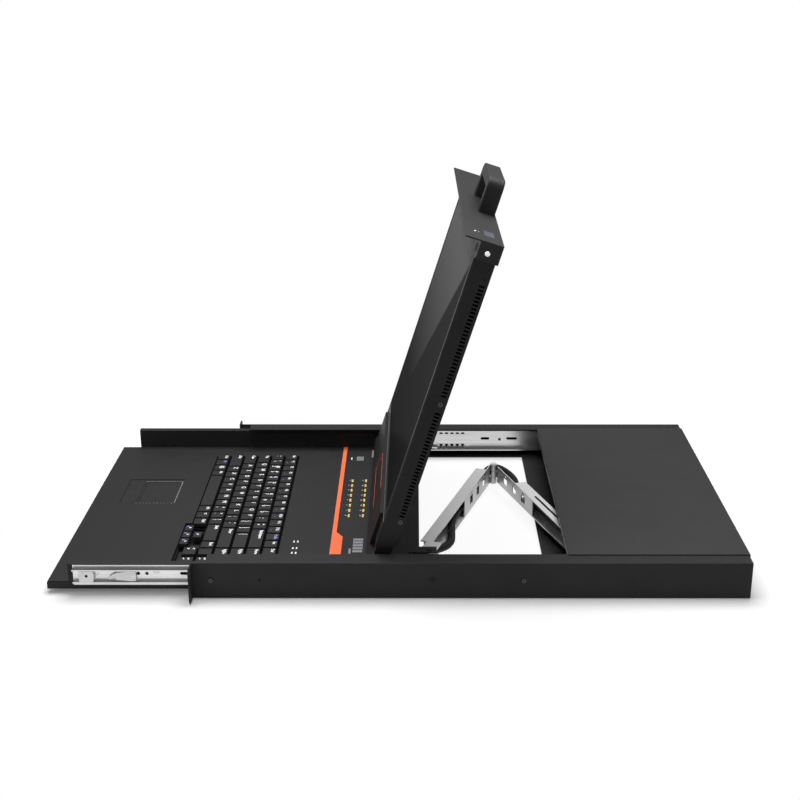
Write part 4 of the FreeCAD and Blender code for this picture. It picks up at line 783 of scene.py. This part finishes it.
def makeDeckPrint():
    look, lampLook = deckPrint, deckLamps
    level, top = look["level"], look["level"] + look["thick"]
    white, soft = bmesh.new(), bmesh.new()
    for row, y in enumerate(lampLook["rows"]):
        for column in range(lampLook["count"]):
            x = lampLook["first"] + lampLook["pitch"] * column
            number = str(1 + column + row * lampLook["count"])
            for form, mark, tall, (aside, back) in ((white, number, look["letter"], look["numberAt"]),
                                                    (soft, "o", look["tiny"], look["tinyAt"])):
                addLetters(form, mark, tall, (x + aside, y + back, level))
    # bare generic fields beside the front of the display
    wide, front, rear = look["bar"]
    bars = [((x, front), (x + wide, rear)) for x in look["bars"]]
    for form, fields in ((white, look["white"]), (soft, look["left"] + bars + look["foot"])):
        for start, stop in fields:
            addField(form, start, stop, level, top)
    addPiece("deckPrintWhite", printMesh("deckPrintWhite", white), keyPrint, "tray", "black_paint")
    addPiece("deckPrintSoft", printMesh("deckPrintSoft", soft), softPrintAndHighlight, "tray", "black_paint")


makeDeckPrint()

padLook = {"left": -89, "right": -10, "front": -133, "rear": -60, "top": -8.6, "line": 0.9,
           "aside": 7, "inset": 1.5, "above": 0.02, "proud": 0.06, "dots": 11, "dotAside": 1.5,
           "dotsFrom": (-13, -111), "dotsTo": (-13, -65), "dot": [(0, 0), (0.8, 0), (0.8, 0.12), (0, 0.16)]}


def makePadMarks():
    look = padLook
    form = bmesh.new()
    level, inset = look["top"] + look["above"], look["inset"]
    left, rear = look["left"] + look["aside"], look["rear"] - inset
    corners = [(left, look["front"] + inset), (left, rear), (look["right"] - inset, rear)]
    for start, stop in zip(corners, corners[1:]):
        addBar(form, start, stop, look["line"], level, level + look["proud"])
    addForm("padOutline", form, softPrintAndHighlight, "tray", "grey_plastic")
    first, last = Vector(look["dotsFrom"]), Vector(look["dotsTo"])
    spots = [first.lerp(last, step / (look["dots"] - 1)) for step in range(look["dots"])]
    places = [upright(spot.x + look["dotAside"], spot.y, level) for spot in spots]
    repeatShape("padDots", lathe("padDot", look["dot"], 8), places, (0, 0, 0), softPrintAndHighlight, "tray",
                "grey_plastic")


makePadMarks()
print("deck lamps, print and touchpad marks made")


def screwShape(name, radius, tall, socket):
    return lathe(name, [(0, -0.6), (radius, -0.6), (radius, tall * 0.35), (radius * 0.8, tall),
                        (socket * 1.1, tall), (socket * 0.9, tall * 0.2), (0, tall * 0.2)])


def ringShape(name, radius, tall):
    # a turned rim round a sunk dark head
    return lathe(name, [(0, -0.4), (radius, -0.4), (radius, tall), (radius * 0.82, tall),
                        (radius * 0.72, tall * 0.1), (radius * 0.4, tall * 0.1), (radius * 0.3, -0.2),
                        (0, -0.2)])


def discShape(name, radius, tall, turns=12):
    profile = [(0, -0.02), (radius, -0.02), (radius, tall * 0.6), (radius - 0.12, tall), (0, tall)]
    return lathe(name, profile, turns)


bothSides = ((1, 90, "Right"), (-1, -90, "Left"))
railScrews = {"side": 223, "level": 0.2, "large": (21, 373.6), "ring": (2.6, 0.25), "small": (76, 270),
              "pin": (1.1, 0.15), "pinRise": 0.8}
wallPlugs = {"x": 208.3, "along": (-110, -95, 95, 110), "level": -5, "disc": (2.3, 0.1)}
displayScrews = {"side": 197, "ring": (2.7, 0.3), "rings": ((9.5, 208.8), (10.3, 61)), "pin": (1.0, 0.15),
                 "pinAt": (10.2, 356)}
capScrews = {"side": 213, "head": (3.0, 0.9, 1.2), "at": (2.5, 386.7), "top": 399, "dotTall": 0.1,
             "dotPeak": 0.14,
             "dots": {"capDots": (174.5, -13.4, 1.4, 12), "capDotSmall": (173.9, -9.4, 0.6, 8)}}
# a lighter copy of the black coat for the rims round the screws: painted highlight
rimHighlightCoat = powderCoat("rimHighlight", (0.055, 0.055, 0.057), (0.35, 0.45), 0.4)


def makeScrews():
    rail, plug, panel, cap = railScrews, wallPlugs, displayScrews, capScrews
    outer = max(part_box("chassis_screws")[1][0] / mm, rail["side"])
    for side, turn, hand in bothSides:
        onRail = [upright(side * outer, y, rail["level"]) for y in rail["large"]]
        pins = [upright(side * outer, y, rail["level"] + rail["pinRise"]) for y in rail["small"]]
        plugs = [upright(side * plug["x"], y, plug["level"]) for y in plug["along"]]
        rings = [onDisplay(side * panel["side"], y, up) for y, up in panel["rings"]]
        panelPin = [onDisplay(side * panel["side"], *panel["pinAt"])]
        capHead = [onDisplay(side * cap["side"], *cap["at"])]
        # the pins are near-black dots of painted shade, and the rings carry the painted highlight of the rims
        rows = (("railRing", ringShape, rail["ring"], onRail, turn, rimHighlightCoat, "chassis", "black_screw"),
                ("wallPlug", discShape, plug["disc"], plugs, -turn, finishes["black_screw"], "tray",
                 "black_screw"),
                ("railPin", ringShape, rail["pin"], pins, turn, paintedShade, "chassis", "black_screw"),
                ("displayRing", ringShape, panel["ring"], rings, turn, rimHighlightCoat, "display", "black_screw"),
                ("displayPin", ringShape, panel["pin"], panelPin, turn, paintedShade, "display", "black_screw"),
                ("capScrew", screwShape, cap["head"], capHead, turn, brightSteel, "display", "case_steel"))
        for name, shape, size, places, spin, look, body, slot in rows:
            repeatShape(name + hand, shape(name, *size), places, (0, spin, 0), look, body, slot)
    for name, (x, y, radius, turns) in cap["dots"].items():
        profile = [(0, 0), (radius, 0), (radius, cap["dotTall"]), (0, cap["dotPeak"])]
        repeatShape(name, lathe("capDot", profile, turns), [onDisplay(x, y, cap["top"])],
                    (-hinge["lean"], 0, 0), keyPrint, "display", "white_plastic")


makeScrews()

capLabel = {"x": (160, 185), "y": (-3.5, 8), "up": 399, "thick": 0.2, "colour": (0.060, 0.062, 0.085)}
capEdge = {"fold": ((213.0, -9.0), (213.25, -8.2), 380, 397),
           "foot": ((196.0, -11.4), (198.0, -9.0), 383, 391)}
labelFilm = mouldedPlastic("labelFilm", capLabel["colour"], (0.35, 0.45), 900, 0.02, 0.4)


def makeCapLabel():
    # a bare field on top of the cap, and a grey strip along the edge of the folded steel beside it, a painted
    # highlight
    look = capLabel
    form = bmesh.new()
    start, stop = zip(look["x"], look["y"])
    addField(form, start, stop, look["up"], look["up"] + look["thick"], onDisplay)
    addForm("capLabel", form, labelFilm, "display", "black_plastic")
    edge = bmesh.new()
    for side in (1, -1):
        for start, stop, low, high in capEdge.values():
            addField(edge, (side * start[0], start[1]), (side * stop[0], stop[1]), low, high, onDisplay)
    addForm("capEdge", edge, softPrintAndHighlight, "display", "black_paint")


makeCapLabel()

chinOutline = {"out": 12.3, "proud": 0.25, "thick": 1.5, "thin": 1.0,
               "line": [(89, 50), (-21, 50), (-30, 47), (-30, 38), (-48, 19.5), (82, 19.5)],
               "ledge": ((-196, 55.6), (196, 55.6), 1.0, 8.0, 8.2)}


def makeChinOutline():
    look = chinOutline
    form = bmesh.new()
    for step, (start, stop) in enumerate(zip(look["line"], look["line"][1:])):
        wide = look["thick"] if step == 0 else look["thin"]
        addBar(form, start, stop, wide, look["out"], look["out"] + look["proud"], onChin)
    addForm("chinOutline", form, orangePrint, "display", "orange")
    # a thin grey bar along the chin's top edge: painted highlight
    ledge = bmesh.new()
    addBar(ledge, *look["ledge"], onChin)
    addForm("chinLedge", ledge, softPrintAndHighlight, "display", "black_plastic")


makeChinOutline()
print("display trim made")

ballRun = {"pitch": 7.8, "slideMid": 1.0, "steel": 0.4, "sink": 0.9, "flare": 1.2, "tooth": 0.4,
           "outer": {"start": 160, "long": 170, "race": 12.7, "ball": 1.4, "x": 214.33, "open": 211.6},
           "inner": {"start": 75, "long": 100, "race": 9.096, "ball": 1.2, "x": 214.33, "open": 211.4}}
cageWindow = {"outline": [(-3.1, -2), (3.1, -2), (0.5, 2), (-0.5, 2)], "thick": 0.05, "inset": 3.2}


def ballShape(name, radius, rings=5):
    angles = [step * math.pi / rings for step in range(1, rings)]
    middle = [(radius * math.sin(angle), -radius * math.cos(angle)) for angle in angles]
    return lathe(name, [(0, -radius)] + middle + [(0, radius)], 2 * rings)


def makeCages(kind, body, node):
    look, steel, pitch = ballRun[kind], ballRun["steel"], ballRun["pitch"]
    start, stop = look["start"], look["start"] + look["long"]
    half, flare = pitch / 2, look["open"] + ballRun["flare"]
    tip, root = look["open"], look["x"] + look["ball"] * ballRun["sink"]
    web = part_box(node)[1][0] / mm
    spots, strip = [], bmesh.new()
    for side in (1, -1):
        for rise in (1, -1):
            level = ballRun["slideMid"] + rise * look["race"]
            low, high = level - steel / 2, level + steel / 2
            for step in range(int(look["long"] / pitch)):
                y = start + pitch * (step + 0.5)
                spots.append(upright(side * look["x"], y, level))
                # each pocket is a tooth of the strip's free edge
                near = half * ballRun["tooth"]
                tooth = [(root, y - half), (flare, y - half), (tip, y - near),
                         (tip, y + near), (flare, y + half), (root, y + half)]
                addSlab(strip, [(side * x, along) for x, along in tooth], low, high)
            addField(strip, (side * root, start), (side * web, stop), low, high)
        lowest, top = ballRun["slideMid"] - look["race"], ballRun["slideMid"] + look["race"]
        addField(strip, (side * (web - steel), start), (side * web, stop), lowest, top)
    addForm(kind + "CageStrip", strip, finishes["zinc_steel"], body, "zinc_steel", (node,))
    repeatShape(kind + "CageBalls", ballShape(kind + "Ball", look["ball"]), spots, (0, 0, 0), brightSteel,
                body, "zinc_steel")


def makeCageTeeth():
    # near-black sheets in the cage's windows between its bright bridges, a painted shade
    look, window = ballRun["outer"], cageWindow
    form = bmesh.new()
    addSlab(form, window["outline"], 0, window["thick"])
    tooth = closeMesh("cageTooth", form)
    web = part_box("ball_cages_outer")[1][0] / mm - ballRun["steel"]
    pitch = ballRun["pitch"]
    along = [look["start"] + pitch * (step + 0.5) for step in range(int(look["long"] / pitch))]
    for side, _, hand in bothSides:
        for rise, spin, part in ((1, 0, "High"), (-1, 180, "Low")):
            level = ballRun["slideMid"] + rise * (look["race"] - window["inset"])
            spots = [upright(side * web, y, level) for y in along]
            repeatShape("cageWindow" + hand + part, tooth.copy(), spots, (90, spin, 90 * -side), paintedShade,
                        "cages_outer", "zinc_steel")


makeCages("outer", "cages_outer", "ball_cages_outer")
makeCageTeeth()
makeCages("inner", "cages_inner", "ball_cages_inner")

slideTrim = {"face": 210.72, "outerWeb": 218.75, "outerSlots": ((346, 358), (383, 398)), "outerLevel": 1.5,
             "innerSlot": (-15.4, -4), "innerLevel": 3.0, "slotHalf": 1.75, "shade": 0.1,
             "hole": (-62.6, 3.0), "holeDisc": (2.0, 0.1), "ring": (-108.6, 2.6), "ringRim": (1.7, 0.25),
             "tab": ((-45.5, -38.5), (3.6, 6.2), 0.6), "tabProud": 0.5}
leverLook = {"x": (211.1, 214.6), "inset": (0.6, 0.9), "ridgeLong": (-79, -75),
             "ridges": ((2.6, 3.6), (-2.4, -1.4)), "ridgeCorner": 0.4, "ridgeProud": 0.25,
             "thumb": [(-88, -3.2), (-74, -4.8), (-66, -4.8), (-65, -3.8), (-65, 5.8), (-66, 6.8), (-74, 6.8),
                       (-87, 5.2), (-88, 4.2)],
             "arm": [(-96, -2.4), (-94.6, -3.2), (-86, 0.4), (-86, 4.4), (-90, 3.6), (-95.4, 0.2)]}
bumperLook = {"x": (211.2, 216.0), "y": (-129.5, -112.5), "z": (-5.4, 7.4), "corner": 2.2,
              "hole": (-120.7, 2.0), "holeDisc": (1.7, 0.1)}
creamNylon = mouldedPlastic("creamNylon", (0.84, 0.84, 0.83), (0.4, 0.5))


def arc(x, y, radius, first, sweep, steps):
    angles = [math.radians(first + sweep * step / steps) for step in range(steps + 1)]
    return [(x + radius * math.cos(angle), y + radius * math.sin(angle)) for angle in angles]


def capsule(start, stop, level, half, steps=6):
    # a slot's outline, round at both ends
    return (arc(stop - half, level, half, -90, 180, steps) + arc(start + half, level, half, 90, 180, steps))


def acrossSlide(side):
    # the first two axes run along the slide and up, the third stands out from the tray
    return lambda y, z, x: upright(side * x, y, z)


def roundedBox(y, z, corner, steps=4):
    (left, right), (low, high) = y, z
    centres = ((right - corner, low + corner), (right - corner, high - corner),
               (left + corner, high - corner), (left + corner, low + corner))
    points = []
    for quarter, (x, up) in enumerate(centres):
        points += arc(x, up, corner, 90 * quarter - 90, 90, steps)
    return points


def makeLever(side, name):
    look = leverLook
    place = acrossSlide(side)
    low, high = look["x"]
    lever = bmesh.new()
    addSlab(lever, look["thumb"], low, high, place)
    addSlab(lever, look["arm"], low + look["inset"][0], high - look["inset"][1], place)
    for rise in look["ridges"]:
        ridge = roundedBox(look["ridgeLong"], rise, look["ridgeCorner"])
        addSlab(lever, ridge, high, high + look["ridgeProud"], place)
    addPiece("releaseLever" + name, closeMesh("releaseLever", lever), creamNylon, "lever_" + name.lower(),
             "white_plastic", ("release_lever_" + name.lower(),))


def makeSlideTrim():
    look = slideTrim
    face, half, shade = look["face"], look["slotHalf"], look["shade"]
    slots, shades = bmesh.new(), bmesh.new()
    for side, turn, name in bothSides:
        place = acrossSlide(side)
        # near-black capsules over the slots and a near-black disc in the hole are painted shade
        for start, stop in look["outerSlots"]:
            slot = capsule(start, stop, look["outerLevel"], half)
            addSlab(slots, slot, look["outerWeb"] - shade, look["outerWeb"], place)
        addSlab(shades, capsule(*look["innerSlot"], look["innerLevel"], half), face, face + shade, place)
        repeatShape("slideHole" + name, discShape("slideHole", *look["holeDisc"]),
                    [upright(side * face, *look["hole"])], (0, turn, 0), paintedShade, "tray", "zinc_steel")
        repeatShape("slideRing" + name, ringShape("slideRing", *look["ringRim"]),
                    [upright(side * face, *look["ring"])], (0, turn, 0), finishes["zinc_steel"], "tray",
                    "zinc_steel")
        # a raised tab on the slide's web, coloured cream for the bright highlight on it: painted highlight
        tab = bmesh.new()
        addSlab(tab, roundedBox(*look["tab"]), face, face + look["tabProud"], place)
        addPiece("catchTab" + name, closeMesh("catchTab", tab), creamNylon, "tray", "white_plastic")
        makeLever(side, name)
    addForm("outerSlots", slots, paintedShade, "chassis", "zinc_steel")
    addForm("innerSlots", shades, paintedShade, "tray", "zinc_steel")


def makeBumpers():
    look = bumperLook
    form = bmesh.new()
    for side in (1, -1):
        addSlab(form, roundedBox(look["y"], look["z"], look["corner"]), *look["x"], acrossSlide(side))
    addForm("slideBumpers", form, creamNylon, "tray", "white_plastic", ("slide_bumpers",))
    for side, turn, name in bothSides:
        # a near-black disc in the bumper's hole: painted shade
        repeatShape("bumperHole" + name, discShape("bumperHole", *look["holeDisc"]),
                    [upright(side * look["x"][1], *look["hole"])], (0, turn, 0), paintedShade, "tray",
                    "white_plastic")


makeBumpers()
makeSlideTrim()
print("slides made")

portLook = {"left": -196, "pitch": 31, "count": 8, "rows": (-9.5, 7.5), "wide": 16.9, "high": 8.3,
            "wall": 0.8, "panel": 630, "behind": -2, "out": 6, "postX": 12.3, "post": 2.3,
            "postShort": 1.5, "face": 1.4, "faceBack": -1.5, "body": ((-15, 15), (-6.2, 6.2), 0.8),
            "bodyDeep": (-12, -1.3), "pinPitch": 2.3, "pinRow": 1.95, "pinColumns": 5,
            "pinShift": 0.25, "pin": (0.5, 0.15, 6)}
hostLook = {"outer": ((79, 91), (-13, 1), 0.6), "inner": ((79.8, 90.2), (-12.2, 0.2), 0.4),
            "deep": (613, 630.6), "back": 617, "tongues": (-10.5, -4.0), "tongueWide": (81, 89),
            "tongueTall": 2.2, "tongueCorner": 0.3, "tongueDeep": (616.5, 630)}
contactGold = brushedSteel("contactGold", (0.75, 0.52, 0.22), (0.25, 0.35), (60, 60, 60))


def acrossPanel(x, z, y):
    # the first two axes run across the rear panel and up, the third points backwards
    return upright(x, y, z)


def shellOutline(wide, high, lean=1.6):
    half, up = wide / 2, high / 2
    return [(-half, up), (-half + lean, -up), (half - lean, -up), (half, up)]


def addRing(form, outer, inner, low, high, place):
    # a hollow prism between two outlines with the same number of corners
    rings = [[form.verts.new(place(x, y, level)) for x, y in line]
             for line, level in ((outer, low), (outer, high), (inner, high), (inner, low))]
    count = len(outer)
    for first, second in zip(rings, rings[1:] + rings[:1]):
        for corner in range(count):
            after = (corner + 1) % count
            form.faces.new((first[corner], first[after], second[after], second[corner]))


def makePorts():
    look = portLook
    places = [upright(look["left"] + look["pitch"] * column, look["panel"], row)
              for row in look["rows"] for column in range(look["count"])]
    outer = shellOutline(look["wide"], look["high"])
    inner = shellOutline(look["wide"] - 2 * look["wall"], look["high"] - 2 * look["wall"])
    front = look["out"] - look["face"]
    shell = bmesh.new()
    addRing(shell, outer, inner, look["behind"], look["out"], acrossPanel)
    for side in (1, -1):
        hexagon = arc(side * look["postX"], 0, look["post"], 0, 300, 5)
        addSlab(shell, hexagon, 0, look["out"] - look["postShort"], acrossPanel)
    repeatShape("portShells", closeMesh("portShell", shell), places, (0, 0, 0), finishes["port_metal"],
                "chassis", "port_metal", stands=("port_connectors",))
    block = bmesh.new()
    addSlab(block, inner, look["faceBack"], front, acrossPanel)
    addSlab(block, roundedBox(*look["body"]), *look["bodyDeep"], acrossPanel)
    repeatShape("portBlocks", closeMesh("portBlock", block), places, (0, 0, 0), finishes["black_plastic"],
                "chassis", "black_plastic")
    # the lowest and top rows stand level; the middle one is shifted a little
    pins = []
    for place in places:
        for row in (-1, 0, 1):
            shift = look["pinShift"] if row == 0 else 0
            for column in range(look["pinColumns"]):
                x = (column - look["pinColumns"] // 2) * look["pinPitch"] + shift * look["pinPitch"]
                pins.append(place + upright(x, front, row * look["pinRow"]))
    repeatShape("portPins", discShape("portPin", *look["pin"]), pins, (-90, 0, 0), contactGold, "chassis",
                "port_metal")


def makeHostSockets():
    look = hostLook
    host, tongues = bmesh.new(), bmesh.new()
    inner = roundedBox(*look["inner"])
    addRing(host, roundedBox(*look["outer"]), inner, *look["deep"], acrossPanel)
    addSlab(host, inner, look["deep"][0], look["back"], acrossPanel)
    for level in look["tongues"]:
        tongue = roundedBox(look["tongueWide"], (level, level + look["tongueTall"]), look["tongueCorner"])
        addSlab(tongues, tongue, *look["tongueDeep"], acrossPanel)
    addForm("hostSockets", host, finishes["port_metal"], "chassis", "port_metal")
    addForm("hostTongues", tongues, finishes["black_plastic"], "chassis", "black_plastic")


makePorts()
makeHostSockets()
print("rear ports made")
